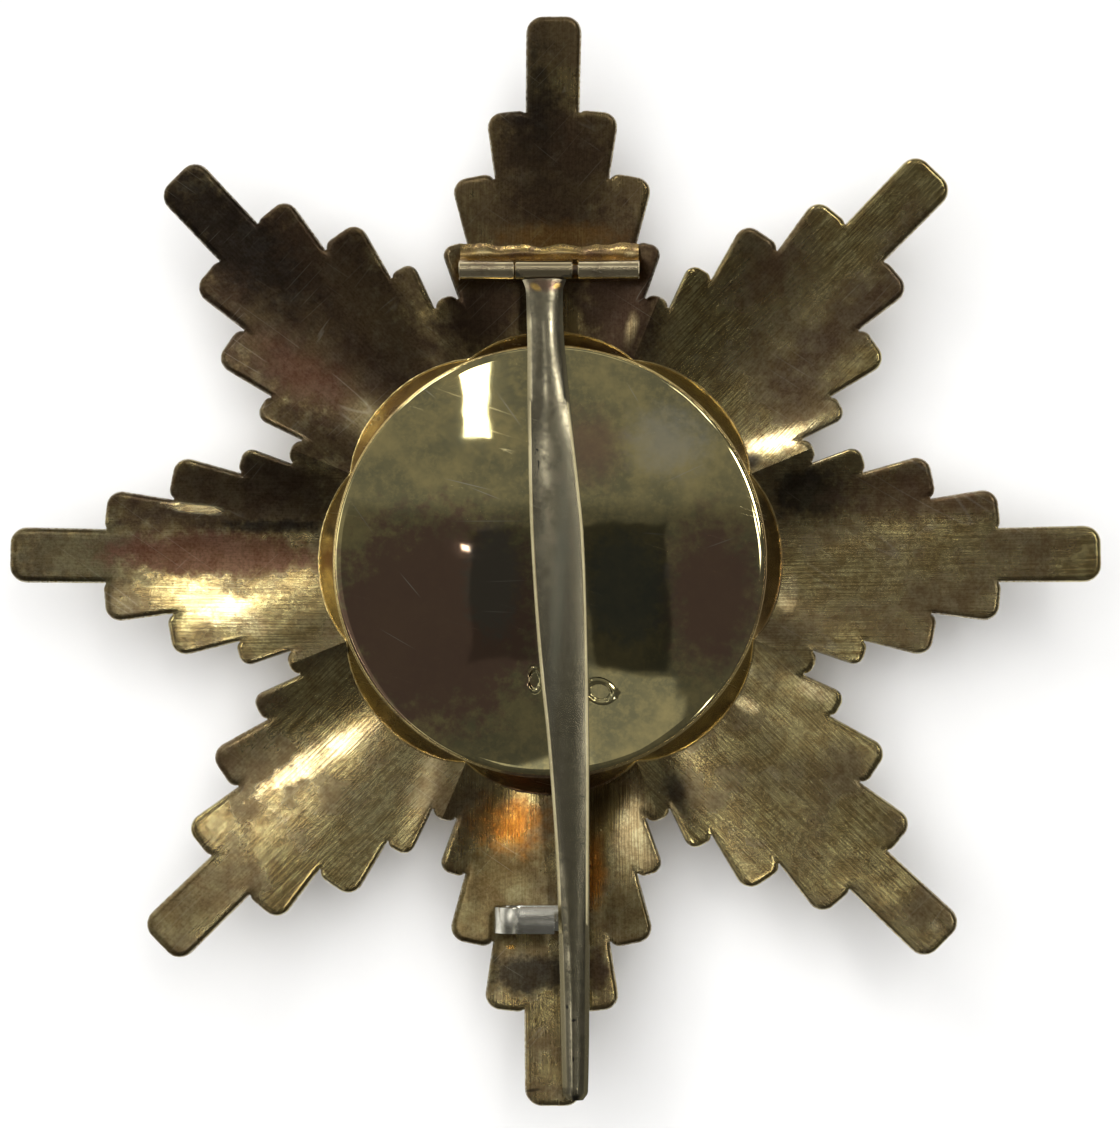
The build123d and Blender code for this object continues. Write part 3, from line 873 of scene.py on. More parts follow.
COVER_STAINS_AND_PAINTED_REFLECTION = [
    Stain(x=-9.0, y=-5.0, wide=21.0, tall=20.0, turn=30, soft=0.4, strength=0.9, colour=REDDISH),
    Stain(x=12.5, y=-3.0, wide=10.0, tall=16.0, turn=0, soft=0.6, strength=0.9, colour=REDDISH),
    # painted reflection: cooler grey either side of the pin, where the cover mirrors a dark band
    Stain(x=-4.6, y=-2.0, wide=5.4, tall=11.0, turn=0, soft=0.5, strength=0.6, colour=(0.3, 0.32, 0.25)),
    Stain(x=5.8, y=-2.5, wide=8.0, tall=11.0, turn=0, soft=0.5, strength=0.6, colour=(0.3, 0.34, 0.28)),
    Stain(x=3.0, y=8.5, wide=8.0, tall=9.0, turn=0, soft=0.9, strength=0.7, colour=REDDISH),
    Stain(x=9.0, y=9.0, wide=9.0, tall=8.0, turn=0, soft=0.9, strength=0.5, colour=SILVER),
    Stain(x=-3.3, y=11.5, wide=4.5, tall=0.1, turn=-55, soft=0.7, strength=0.7, colour=PALE),
    Stain(x=-9.8, y=13.0, wide=2.6, tall=0.09, turn=-38, soft=0.7, strength=0.7, colour=PALE),
    Stain(x=-6.5, y=5.6, wide=5.0, tall=0.1, turn=-14, soft=0.7, strength=0.8, colour=PALE),
    Stain(x=-5.2, y=4.9, wide=3.6, tall=0.08, turn=-22, soft=0.7, strength=0.8, colour=PALE),
    Stain(x=-4.8, y=2.7, wide=7.0, tall=0.07, turn=0, soft=0.7, strength=0.7, colour=PALE),
    Stain(x=-11.0, y=-2.3, wide=3.2, tall=0.09, turn=-50, soft=0.7, strength=0.8, colour=PALE),
    Stain(x=-14.8, y=3.0, wide=4.0, tall=0.08, turn=-55, soft=0.7, strength=0.6, colour=PALE),
    Stain(x=-3.5, y=-2.0, wide=4.2, tall=0.07, turn=2, soft=0.7, strength=0.6, colour=PALE),
    Stain(x=-4.2, y=-4.4, wide=3.0, tall=0.07, turn=-2, soft=0.7, strength=0.6, colour=PALE),
    Stain(x=8.0, y=1.7, wide=2.2, tall=0.12, turn=-4, soft=0.7, strength=0.7, colour=PALE),
    Stain(x=10.5, y=6.5, wide=4.5, tall=0.08, turn=25, soft=0.7, strength=0.5, colour=PALE),
    Stain(x=13.2, y=1.0, wide=3.0, tall=0.08, turn=20, soft=0.7, strength=0.6, colour=PALE),
    Stain(x=-12.0, y=-6.5, wide=4.0, tall=0.07, turn=-30, soft=0.7, strength=0.6, colour=PALE),
    Stain(x=6.4, y=12.8, wide=2.4, tall=0.08, turn=-60, soft=0.7, strength=0.6, colour=PALE),
]
SOLDER_STAINS = [
    Stain(x=0.7, y=24.0, wide=2.6, tall=0.9, turn=0, soft=0.7, strength=0.85, colour=(0.95, 0.76, 0.38)),
    Stain(x=-5.3, y=24.2, wide=1.8, tall=0.9, turn=0, soft=0.7, strength=0.8, colour=(0.95, 0.76, 0.38)),
    Stain(x=6.2, y=23.8, wide=1.2, tall=0.9, turn=0, soft=0.7, strength=0.8, colour=(0.95, 0.76, 0.38)),
    Stain(x=-2.8, y=24.0, wide=3.0, tall=1.0, turn=0, soft=0.8, strength=0.7, colour=BROWN),
    Stain(x=3.4, y=24.1, wide=2.6, tall=1.0, turn=0, soft=0.8, strength=0.7, colour=BROWN),
]
PIN_STAINS_AND_PAINTED_SHADE = [
    Stain(x=-0.55, y=22.5, wide=5.2, tall=1.8, turn=0, soft=0.1, strength=0.9, colour=(0.68, 0.57, 0.35)),
    # painted shade in the dip of the flattened neck
    Stain(x=-0.5, y=21.2, wide=4.4, tall=1.5, turn=0, soft=0.7, strength=0.85, colour=BROWN),
    Stain(x=-1.2, y=21.0, wide=1.3, tall=0.7, turn=-35, soft=0.7, strength=0.95, colour=DEEP_GOLD),
    Stain(x=0.5, y=21.1, wide=0.9, tall=0.6, turn=20, soft=0.7, strength=0.9, colour=DEEP_GOLD),
    Stain(x=-1.75, y=8.6, wide=0.3, tall=0.3, turn=0, soft=0.6, strength=0.95, colour=BLACK),
    Stain(x=-1.05, y=8.1, wide=0.35, tall=0.22, turn=-30, soft=0.6, strength=0.95, colour=BLACK),
    Stain(x=-0.95, y=7.0, wide=0.2, tall=0.9, turn=0, soft=0.6, strength=0.9, colour=BLACK),
    Stain(x=0.6, y=-3.0, wide=1.6, tall=26.0, turn=-3, soft=0.9, strength=0.75, colour=GREY_FILM),
    Stain(x=1.3, y=-34.6, wide=0.3, tall=0.4, turn=0, soft=0.6, strength=0.9, colour=BLACK),
    Stain(x=1.8, y=-35.6, wide=0.5, tall=0.3, turn=20, soft=0.6, strength=0.9, colour=BLACK),
    Stain(x=1.75, y=-38.5, wide=0.25, tall=0.5, turn=0, soft=0.6, strength=0.9, colour=BLACK),
    # painted shade on the blunt end of the point
    Stain(x=1.9, y=-41.5, wide=2.2, tall=0.7, turn=0, soft=0.5, strength=0.85, colour=BLACK),
]
COLLAR_SHADE_AND_PITS = [
    # painted shade: brown on the lower and right sides, where the collar's slope faces away from the light
    Stain(x=0, y=-18, wide=16, tall=5, turn=0, soft=0.6, strength=0.9, colour=BROWN),
    Stain(x=17, y=-2, wide=5, tall=18, turn=0, soft=0.6, strength=0.6, colour=BROWN),
    Stain(x=7.4, y=-16.6, wide=1.6, tall=1.2, turn=0, soft=0.5, strength=0.95, colour=BLACK),
    Stain(x=-7.2, y=-16.8, wide=1.5, tall=1.0, turn=0, soft=0.5, strength=0.9, colour=BLACK),
    Stain(x=-16.4, y=-7.3, wide=1.3, tall=1.3, turn=0, soft=0.5, strength=0.9, colour=BLACK),
]


def stained_and_painted_light(tree, colour, coordinates, stains):
    """Lays each row's colour softly over what is there, with a ragged edge: tarnish, pits, painted light."""
    if not stains:
        return colour
    rough = calc(tree, "SUBTRACT", cloud(tree, coordinates, 1 / (1.1 * MM), 3.0, 0.7), 0.5)
    for stain_or_light in stains:
        feeds = {
            "Vector": coordinates,
            "Centre": (stain_or_light.x * MM, stain_or_light.y * MM, 0),
            "Across": (*polar(2 / (stain_or_light.wide * MM), stain_or_light.turn), 0),
            "Along": (*polar(2 / (stain_or_light.tall * MM), stain_or_light.turn + 90), 0),
            "Soft": stain_or_light.soft,
            "Ragged": rough if stain_or_light.tall > 0.7 else 0.0,
        }
        mask = effect(tree, SPOT, feeds, "Mask")
        colour = blend(tree, calc(tree, "MULTIPLY", mask, stain_or_light.strength), colour, stain_or_light.colour)
    return colour


def mark_of(tree, key):
    """A number stored on the mesh, as a socket."""
    return node(tree, "ShaderNodeAttribute", attribute_name=key).outputs["Fac"]


def star_finish():
    made, tree, shader, coordinates = metal("star_gilt")
    along_arm = node(tree, "ShaderNodeUVMap", uv_map="brush").outputs[0]
    film = mark_of(tree, "film")
    edge = mark_of(tree, "edge_mm")
    front = mark_of(tree, "front")
    feeds = {"Vector": coordinates, "Size": 7 * MM, "Amount": film, "Seed": (1, 0, 0)}
    clouds = effect(tree, TARNISH, feeds, "Mask")
    feeds = {"Vector": coordinates, "Size": 1.4 * MM, "Amount": film, "Softness": 0.1, "Seed": (4, 0, 0)}
    specks = effect(tree, TARNISH, feeds, "Mask")
    grain = effect(tree, TARNISH, feeds, "Grain")
    feeds = {"Vector": along_arm, "Line Width": 0.13 * MM, "Line Length": 5 * MM}
    brush = effect(tree, BRUSH, feeds, "Height")
    feeds = {"Vector": coordinates, "Spacing": 2.2 * MM, "Turn": 0.6, "Thinness": 0.008}
    cross = effect(tree, SCRATCH, feeds, "Mask")
    feeds = {"Vector": coordinates, "Spacing": 1.7 * MM, "Turn": -0.8, "Thinness": 0.008, "Seed": (2, 0, 0)}
    crossing = effect(tree, SCRATCH, feeds, "Mask")
    filmed = blend(tree, calc(tree, "MULTIPLY", clouds, 0.7), OLD_GILT, PURPLE)
    colour = blend(tree, front, stained_and_painted_light(tree, filmed, coordinates, STAR_STAINS_AND_PAINTED_LIGHT), filmed)
    value = node(tree, "ShaderNodeRGBToBW", {"Color": colour}).outputs[0]
    dull = ease(tree, value, 0.1, 0.6, 0.29, 0.12)
    line_share = ease(tree, value, 0.12, 0.5, 0.22, 0.6)
    lined = calc(tree, "MULTIPLY", ease(tree, brush, 0.4, 0.6, 1, 0), line_share)
    colour = blend(tree, ease(tree, grain, 0.42, 0.62, 0, 0.5), colour, (0.5, 0.45, 0.38), "MULTIPLY")
    colour = blend(tree, calc(tree, "MULTIPLY", specks, 0.5), colour, (0.6, 0.46, 0.35), "MULTIPLY")
    colour = blend(tree, lined, colour, (0.5, 0.43, 0.35), "MULTIPLY")
    colour = blend(tree, calc(tree, "MULTIPLY", calc(tree, "MAXIMUM", cross, crossing), 0.12), colour, PALE)
    worn = calc(tree, "MULTIPLY", ease(tree, edge, 0.03, 0.2, 0.6, 0), ease(tree, grain, 0.4, 0.6))
    colour = blend(tree, worn, colour, PALE)
    roughness = calc(tree, "ADD", dull, calc(tree, "MULTIPLY", brush, 0.08))
    wire_up(tree, shader, colour, roughness, bumped(tree, brush, 0.008, 0.8))
    return made


PIN_CLEAN, PIN_FILM = (0.43, 0.39, 0.27), (0.2, 0.18, 0.12)
Finish = namedtuple("Finish", "name clean film amount cloud_mm gloss dull scratch lump_mm lump_um stains")
FINISHES = [
    Finish("cover_gilt", GILT, OLIVE, 0.58, 5.0, 0.01, 0.035, 0.08, 3.0, 0.3, COVER_STAINS_AND_PAINTED_REFLECTION),
    Finish("collar_gold", (0.9, 0.7, 0.3), BROWN, 0.36, 3.0, 0.22, 0.35, 0.1, 0.5, 20.0, COLLAR_SHADE_AND_PITS),
    Finish("solder_gold", (0.75, 0.54, 0.2), BROWN, 0.5, 1.2, 0.2, 0.35, 0.0, 1.2, 9.0, SOLDER_STAINS),
    Finish("pin_metal", PIN_CLEAN, PIN_FILM, 0.55, 2.4, 0.12, 0.24, 0.05, 1.2, 2.0, PIN_STAINS_AND_PAINTED_SHADE),
    Finish("hook_metal", (0.76, 0.74, 0.64), GREY_FILM, 0.35, 2.0, 0.2, 0.3, 0.05, 1.3, 8.0, []),
    Finish("hinge_metal", (0.8, 0.69, 0.44), BROWN, 0.42, 1.6, 0.18, 0.32, 0.05, 0.9, 3.0, []),
    Finish("rivet_metal", (0.26, 0.18, 0.11), BLACK, 0.5, 1.0, 0.3, 0.4, 0.0, 0.5, 3.0, []),
    Finish("front_gilt_metal", GILT, OLIVE, 0.4, 6.0, 0.15, 0.25, 0.1, 3.0, 2.0, []),
]


# How strongly the pin's bevels are painted lighter: painted highlight.
BEVEL_HIGHLIGHT = {"pin_metal": 0.6}


def bevel_mask(tree, coordinates, strength):
    """Where the pin's narrow bevels are, told by their slope, short of its knuckle."""
    normal = node(tree, "ShaderNodeTexCoord").outputs["Normal"]
    upwards = node(tree, "ShaderNodeSeparateXYZ", {"Vector": normal}).outputs["Z"]
    leaning = ease(tree, upwards, 0.97, 0.88)
    sloping = calc(tree, "MULTIPLY", leaning, ease(tree, upwards, 0.45, 0.6))
    along = node(tree, "ShaderNodeSeparateXYZ", {"Vector": coordinates}).outputs["Y"]
    return calc(tree, "MULTIPLY", sloping, ease(tree, along, 18 * MM, 20.5 * MM, strength, 0))


def filmed_metal(finish):
    """Clean metal under clouds of film, duller where the film lies, with scratches and faint lumps."""
    made, tree, shader, coordinates = metal(finish.name)
    feeds = {"Vector": coordinates, "Size": finish.cloud_mm * MM, "Amount": finish.amount, "Softness": 0.2}
    clouds = effect(tree, TARNISH, feeds, "Mask")
    grain = effect(tree, TARNISH, feeds, "Grain")
    share = calc(tree, "MULTIPLY", clouds, ease(tree, grain, 0.3, 0.6, 0.5, 1))
    colour = stained_and_painted_light(tree, blend(tree, share, finish.clean, finish.film), coordinates, finish.stains)
    # painted highlight: the pin's sloping bevels are laid over with lighter gilt
    if finish.name in BEVEL_HIGHLIGHT:
        colour = blend(tree, bevel_mask(tree, coordinates, BEVEL_HIGHLIGHT[finish.name]), colour, POLISH_AND_HIGHLIGHT)
    lines = effect(tree, SCRATCH, {"Vector": coordinates, "Spacing": 1.6 * MM, "Thinness": 0.006}, "Mask")
    lines = calc(tree, "MULTIPLY", lines, finish.scratch)
    colour = blend(tree, lines, colour, PALE)
    gain = calc(tree, "MULTIPLY", share, finish.dull - finish.gloss)
    roughness = calc(tree, "ADD", calc(tree, "ADD", lines, finish.gloss), gain)
    lumps = cloud(tree, coordinates, 1 / (finish.lump_mm * MM), 2.0, 0.5)
    wire_up(tree, shader, colour, roughness, bumped(tree, lumps, finish.lump_um * 0.001))
    return made


STAR_GILT = star_finish()
metals = {finish.name: filmed_metal(finish) for finish in FINISHES}
print("finishes:", [finish.name for finish in FINISHES])

# %% [markdown]
# Place the arms

# %% Grow the star
arms_sheet = run_tree(
    arm_marks, arms_tree(), arm=arm_blank, waviness=0.06 * MM, wave_size=7 * MM, seed=3.0, finish=STAR_GILT
)
bpy.data.objects.remove(arm_blank)
tidy_mesh(arms_sheet.data, 0.001)
place(arms_sheet, "star", "gilt_silver", "star_plate")

# %% [markdown]
# The hub and its collar
#
# The arms were soldered to a turned hub. What shows of it is the sloping collar round the cover.

# %% Turn the hub
hub_profile = rounded(
    [
        (0, 4.75, 0),
        (16.2, 4.75, 0.1),
        (18.35, 5.95, 0.25),
        (16.95, 7.95, 0.3),
        (15, 7.95, 0.05),
        (15, 6, 0),
        (0, 6, 0),
    ],
    count=5,
)
hub_collar = solid("hub_collar", turned(hub_profile, 240, HUB))
hub_collar.data.materials.append(metals["collar_gold"])
place(hub_collar, "star", "gilt_silver", "star_plate")

# %% [markdown]
# The solder bead
#
# Where the collar meets the gutters, solder ran round in an uneven line. A node tree sweeps a small
# circle along that line, and noise with a fixed seed swells and thins it.

# %% Run the bead round the collar
def collar_line():
    """Where the collar's slope meets the gutters, found by walking inwards."""
    line = []
    for angle in np.arange(0, 360, 1.0):
        folded = (angle + RIDGE_DEG) % (2 * RIDGE_DEG) - RIDGE_DEG
        for radius in np.arange(19.2, 16.5, -0.02):
            spot = polar(radius, angle)
            off_hub = np.linalg.norm(spot - HUB)
            collar = 5.95 + (18.35 - off_hub) / 0.7
            x, y = polar(radius, folded)
            sheet = back_height(np.array([x]), np.array([y]))[0]
            if collar >= sheet:
                break
        line.append((*spot, sheet))
    return line


def line_object(name, line):
    mesh = bpy.data.meshes.new(name)
    count = len(line)
    edges = [(step, (step + 1) % count) for step in range(count)]
    mesh.from_pydata([tuple(float(value) * MM for value in point) for point in line], edges, [])
    made = bpy.data.objects.new(name, mesh)
    bpy.context.scene.collection.objects.link(made)
    return made


def bead_tree():
    tree, given, outputs = new_tree(
        "solder_bead",
        [
            ("Bead Radius", "NodeSocketFloat", 0.1 * MM),
            ("Unevenness", "NodeSocketFloat", 0.6),
            ("Lump Size", "NodeSocketFloat", 1.2 * MM),
            ("Seed", "NodeSocketFloat", 0.0),
            ("Finish", "NodeSocketMaterial", None),
        ],
    )
    path = node(tree, "GeometryNodeMeshToCurve", {"Mesh": given["Geometry"]}).outputs[0]
    path = node(tree, "GeometryNodeResampleCurve", {"Curve": path, "Count": 700}).outputs[0]
    place_now = node(tree, "GeometryNodeInputPosition").outputs[0]
    lumps = node(
        tree,
        "ShaderNodeTexNoise",
        {
            "Vector": place_now,
            "W": given["Seed"],
            "Scale": calc(tree, "DIVIDE", 1, given["Lump Size"]),
            "Detail": 2.0,
        },
        noise_dimensions="4D",
    ).outputs[0]
    swing = calc(tree, "MULTIPLY", calc(tree, "SUBTRACT", lumps, 0.5), given["Unevenness"])
    swell = calc(tree, "MULTIPLY_ADD", swing, 4.0, 1.0)
    circle = node(
        tree, "GeometryNodeCurvePrimitiveCircle", {"Radius": given["Bead Radius"], "Resolution": 8}
    ).outputs[0]
    swept = node(
        tree, "GeometryNodeCurveToMesh", {"Curve": path, "Profile Curve": circle, "Scale": swell}
    ).outputs[0]
    finish_tree(tree, swept, given["Finish"], outputs)
    return tree


solder_bead = run_tree(
    line_object("solder_bead", collar_line()),
    bead_tree(),
    bead_radius=0.11 * MM,
    unevenness=0.5,
    lump_size=1.2 * MM,
    seed=2.0,
    finish=metals["collar_gold"],
)
tidy_mesh(solder_bead.data)
place(solder_bead, "star", "gilt_silver")

# %% [markdown]
# The cover
#
# A thin domed disc closes the back. Its surface isn't perfectly even, and two small bare punch marks sit
# on its lower half. The mesh is finer round the marks.

# %% Shape the cover
COVER_R, COVER_LOW, COVER_RIM, COVER_TOP = 16.8, 7.99, 8.34, 8.74
TOP_R = 16.62
Punch = namedtuple("Punch", "x y wide tall turn")
PUNCHES = [
    Punch(x=3.8, y=-10.6, wide=2.0, tall=1.5, turn=-18),
    Punch(x=-1.3, y=-9.7, wide=0.9, tall=1.6, turn=0),
]


def dome_height(spots):
    """Height of the cover's dome and of the punch marks in it."""
    reach = np.linalg.norm(spots - HUB, axis=1)
    sphere = (COVER_R**2 + (COVER_TOP - COVER_RIM) ** 2) / (2 * (COVER_TOP - COVER_RIM))
    height = COVER_TOP - sphere + np.sqrt(sphere**2 - reach**2)
    for punch in PUNCHES:
        away = spots - [punch.x, punch.y]
        cos_turn, sin_turn = polar(1, punch.turn)
        across = (away[:, 0] * cos_turn + away[:, 1] * sin_turn) / (punch.wide / 2)
        along = (away[:, 1] * cos_turn - away[:, 0] * sin_turn) / (punch.tall / 2)
        share = np.sqrt(across**2 + along**2)
        height -= 0.07 * np.clip((1 - share) * 6, 0, 1)
        height += 0.025 * np.exp(-(((share - 1.12) / 0.12) ** 2))
    fade = np.clip((TOP_R - reach) / 2, 0, 1)
    flat = np.column_stack([spots, np.zeros(len(spots))])
    return height + fade * (0.006 * waves(flat, 4.0) + 0.0015 * waves(flat, 1.1, 7.0) - 0.005)


def cover_shell():
    around = 300
    groups = [np.array([polar(TOP_R, 360 * step / around) for step in range(around)])]
    for radius in np.arange(TOP_R - 0.4, 0.3, -0.55):
        count = max(6, round(2 * math.pi * radius / 0.6))
        groups.append(np.array([polar(radius, 360 * step / count) for step in range(count)]))
    groups.append(np.zeros((1, 2)))
    spots = np.vstack(groups) + HUB
    for punch in PUNCHES:
        near = [(punch.x + a * 0.09, punch.y + b * 0.09) for a in range(-14, 15) for b in range(-14, 15)]
        clear = np.abs(spots - [punch.x, punch.y]).max(1) > 1.32
        spots = np.vstack([spots[clear], near])
    flat, faces, made = fill(spots, range(around))
    top = np.column_stack([flat, dome_height(flat)])
    edge_z = dome_height(np.array([HUB + [TOP_R, 0]]))[0]
    under = [(15.2, COVER_LOW), (11.4, 8.12), (7.6, 8.215), (3.8, 8.27), (0, 8.29)]
    side = [(TOP_R, edge_z), (16.7, 8.335), (16.77, 8.3), (COVER_R, 8.22), (COVER_R, 8.02)]
    side.append((16.77, COVER_LOW))
    return joined((top, faces), turned(side + under, around, HUB))


cover_disc = solid("cover_disc", cover_shell(), 0.005)
cover_disc.data.materials.append(metals["cover_gilt"])
place(cover_disc, "star", "gilt_cover", "back_cover")

# %% [markdown]
# The hinge
#
# Two soldered tubes with a band of solder on their far side hold the rivet that the pin turns on.

# %% Shape the tubes and their solder
HINGE_Y, HINGE_Z, TUBE_R, BORE_R = 22.4, 9.3, 0.8, 0.4
LEFT_TUBE, PIN_TUBE, RIGHT_TUBE = (-7.23, -2.89), (-2.81, 1.68), (2.09, 6.9)


def tube_shell(ends, bore=BORE_R, bevel=0.07, seed=0.0):
    """A tube along X round the hinge axis, with eased ends."""
    start, stop = ends
    inside_line = [(bore, place) for place in np.linspace(start, stop, 4)]
    outside_line = [(TUBE_R, place) for place in np.linspace(stop - bevel, start + bevel, 16)]
    profile = inside_line + [(TUBE_R - bevel, stop)] + outside_line + [(TUBE_R - bevel, start)]
    points, faces = turned(profile, 36, closed=True)
    shape = np.column_stack([points[:, 2], HINGE_Y - points[:, 0], HINGE_Z + points[:, 1]])
    outer = np.linalg.norm(points[:, :2], axis=1) > BORE_R + 0.1
    shape[outer, 1:] -= (shape[outer, 1:] - [HINGE_Y, HINGE_Z]) * (
        0.02 * (1 + waves(shape[outer], 1.3, seed))[:, None]
    )
    return shape, faces


def solder_band():
    """Solder behind the tubes: a hollow fillet, lower behind the pin's tube, that runs out on the arm."""
    rings = []
    for x in np.linspace(-7.2, 6.86, 110):
        middle = LEFT_TUBE[1] - 0.12 < x < RIGHT_TUBE[0] + 0.12
        crest, near_y = (8.42, 23.42) if middle else (9.3, 23.05)
        lump = waves(np.array([[x, 0, 0], [x * 2.6, 5, 0]]), 1.6)
        far_y = 24.8 + 0.25 * lump[0]
        shares = np.linspace(0, 1, 11)
        ys = near_y + (far_y - near_y) * shares
        surface = back_height(ys, np.full_like(ys, x)) - 0.03
        rise = (crest - surface[0]) * (1 - shares) ** 2.3
        swell = (0.06 * lump[0] + 0.04 * lump[1]) * np.sin(math.pi * shares) ** 1.6
        zs = surface + rise + swell
        base = [(far_y, surface[-1] - 0.5), (near_y - 0.55, surface[0] - 0.5), (near_y - 0.55, crest - 0.3)]
        rings.append([(x, y, z) for y, z in [*zip(ys, zs), *base]])
    return lofted(rings)


def foot_shell():
    """The strip under the tubes."""
    rings = []
    for x in np.linspace(-7.2, 6.86, 60):
        middle = LEFT_TUBE[1] - 0.1 < x < RIGHT_TUBE[0] + 0.1
        crest = 8.25 if middle else 9.1
        floor = back_height(np.array([22.0]), np.array([x]))[0] - 0.3
        rings.append([(x, 21.9, floor), (x, 21.9, crest), (x, 23.0, crest), (x, 23.0, floor)])
    return lofted(rings)


hinge_tubes = solid("hinge_tubes", joined(tube_shell(LEFT_TUBE), tube_shell(RIGHT_TUBE, seed=5.0)))
hinge_tubes.data.materials.append(metals["hinge_metal"])
place(hinge_tubes, "star", "pin_silver", "hinge_barrel")
hinge_solder = solid("hinge_solder", joined(solder_band(), foot_shell()))
hinge_solder.data.materials.append(metals["solder_gold"])
place(hinge_solder, "star", "pin_silver")
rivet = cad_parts["hinge_rivet"]
rivet.data.materials.clear()
rivet.data.materials.append(metals["rivet_metal"])

# %% [markdown]
# The pin
#
# The pin was forged from one rod: a flattened neck behind its knuckle, then a blade that is widest over
# the cover and narrows to a blunt point.

# %% Forge the pin
Section = namedtuple("Section", "y x z width thickness")
PIN_SECTIONS = [
    Section(y=21.9, x=-0.54, z=9.2, width=3.7, thickness=0.8),
    Section(y=20.7, x=-0.52, z=9.28, width=2.95, thickness=0.8),
    Section(y=18.5, x=-0.48, z=9.45, width=2.88, thickness=0.95),
    Section(y=10.0, x=-0.05, z=9.7, width=3.5, thickness=1.05),
    Section(y=1.5, x=0.5, z=9.94, width=4.15, thickness=1.1),
    Section(y=-7.0, x=0.93, z=10.19, width=3.88, thickness=1.1),
    Section(y=-15.5, x=1.42, z=10.44, width=3.15, thickness=1.1),
    Section(y=-24.0, x=1.72, z=10.68, width=2.55, thickness=1.1),
    Section(y=-32.5, x=1.87, z=10.92, width=2.27, thickness=1.1),
    Section(y=-41.0, x=1.92, z=11.15, width=1.95, thickness=1.05),
    Section(y=-41.6, x=1.92, z=11.17, width=1.2, thickness=0.8),
]


def along_table(table, key, places):
    """A smooth curve through one column of a table, read at the given places."""
    known = np.array([row[0] for row in table][::-1], float)
    values = np.array([getattr(row, key) for row in table][::-1], float)
    steps = np.diff(values) / np.diff(known)
    slopes = np.concatenate([steps[:1], (steps[1:] + steps[:-1]) / 2, steps[-1:]])
    slopes[1:-1] = np.where(steps[1:] * steps[:-1] > 0, slopes[1:-1], 0)
    limit = 2 * np.minimum(np.abs(np.append(steps, steps[-1])), np.abs(np.insert(steps, 0, steps[0])))
    slopes = np.clip(slopes, -limit, limit)
    index = np.clip(np.searchsorted(known, places) - 1, 0, len(known) - 2)
    width = known[index + 1] - known[index]
    share = (places - known[index]) / width
    low, high = values[index], values[index + 1]
    return (
        (1 + 2 * share) * (1 - share) ** 2 * low
        + share * (1 - share) ** 2 * width * slopes[index]
        + share**2 * (3 - 2 * share) * high
        + share**2 * (share - 1) * width * slopes[index + 1]
    )


def blade_ring(half, thick, crown_share):
    """Cross-section of the pin: flat below, gently crowned above, with a narrow bevel on each side."""
    corners = [
        (half, 0.4 * thick, 0.04),
        (half, -0.3 * thick, 0.04),
        (0.8 * half, -thick, 0.05),
        (-0.8 * half, -thick, 0.05),
        (-half, -0.3 * thick, 0.04),
        (-half, 0.4 * thick, 0.04),
    ]
    face = half - min(0.27, 0.27 * half)
    crown = [(u * face, (0.99 - crown_share * u**2) * thick) for u in np.linspace(-1, 1, 15)]
    return list(rounded(corners)) + crown


def pin_shell():
    blade, point = np.linspace(18.2, -41.0, 130), [-41.2, -41.4, -41.55, -41.6]
    places = np.concatenate([np.linspace(21.9, 18.5, 18), blade, point])
    columns = {key: along_table(PIN_SECTIONS, key, places) for key in ("x", "z", "width", "thickness")}
    rings = []
    for step, y in enumerate(places):
        half, thick = columns["width"][step] / 2, columns["thickness"][step] / 2
        half *= 1 - 0.006 * (1 + noise.noise(Vector((0, y / 3, 0))))
        ring = blade_ring(half, thick, np.interp(y, [-34, -22, 8, 16], [0.3, 0.12, 0.12, 0.35]))
        rings.append([(columns["x"][step] + u, y, columns["z"][step] + v) for u, v in ring])
    return lofted(rings)


pin_shape = joined(pin_shell(), tube_shell(PIN_TUBE, 0.42, seed=9.0))
brooch_blade = solid("brooch_blade", pin_shape, crease_deg=28)
brooch_blade.data.materials.append(metals["pin_metal"])
place(brooch_blade, "pin", "pin_silver", "brooch_pin")

# %% [markdown]
# The hook
#
# A strip bent into a C, open to one side, stands on the lower arm. The pin springs under it.

# %% Bend the hook
HOOK_Y, HOOK_WIDE, STRIP = -28.1, 2.0, 0.5


def hook_shell():
    bend_x, bend_z, bend_r = -2.275, 9.925, 1.875
    path = [(0.6, 8.05), (-0.4, 8.05), (-1.4, 8.05)]
    bend = np.array([bend_x, bend_z])
    path += [tuple(bend + polar(bend_r, -90 - angle)) for angle in np.arange(0, 181, 9)]
    path += [(-1.6, 11.8), (-0.9, 11.8), (-0.3, 11.8), (0.35, 11.8)]
    path = np.array(path)
    ahead = np.gradient(path, axis=0)
    normal = np.column_stack([-ahead[:, 1], ahead[:, 0]]) / np.linalg.norm(ahead, axis=1)[:, None]
    half, wide = STRIP / 2, HOOK_WIDE / 2
    section = rounded(
        [(half, wide, 0.08), (-half, wide, 0.08), (-half, -wide, 0.08), (half, -wide, 0.08)]
    )
    rings = []
    for spot, side in zip(path, normal):
        rings.append([(spot[0] + side[0] * u, HOOK_Y + v, spot[1] + side[1] * u) for u, v in section])
    return lofted(rings)


def hook_foot():
    rings = []
    fullness = (0.3, 0.7, 0.9, 1, 1, 1, 1, 1, 1, 1, 0.95, 0.9, 0.8, 0.5)
    for x, grow in zip(np.linspace(-4.3, 0.58, 14), fullness):
        floor = back_height(np.array([28.0]), np.array([x]))[0] - 0.3
        wide = 0.5 + 0.48 * grow
        near, far = HOOK_Y - wide, HOOK_Y + wide
        rings.append([(x, near, floor), (x, near, 8.0), (x, far, 8.0), (x, far, floor)])
    return lofted(rings)


catch_strip = solid("catch_strip", joined(hook_shell(), hook_foot()))
catch_strip.data.materials.append(metals["hook_metal"])
place(catch_strip, "star", "hook_silver", "catch_hook")

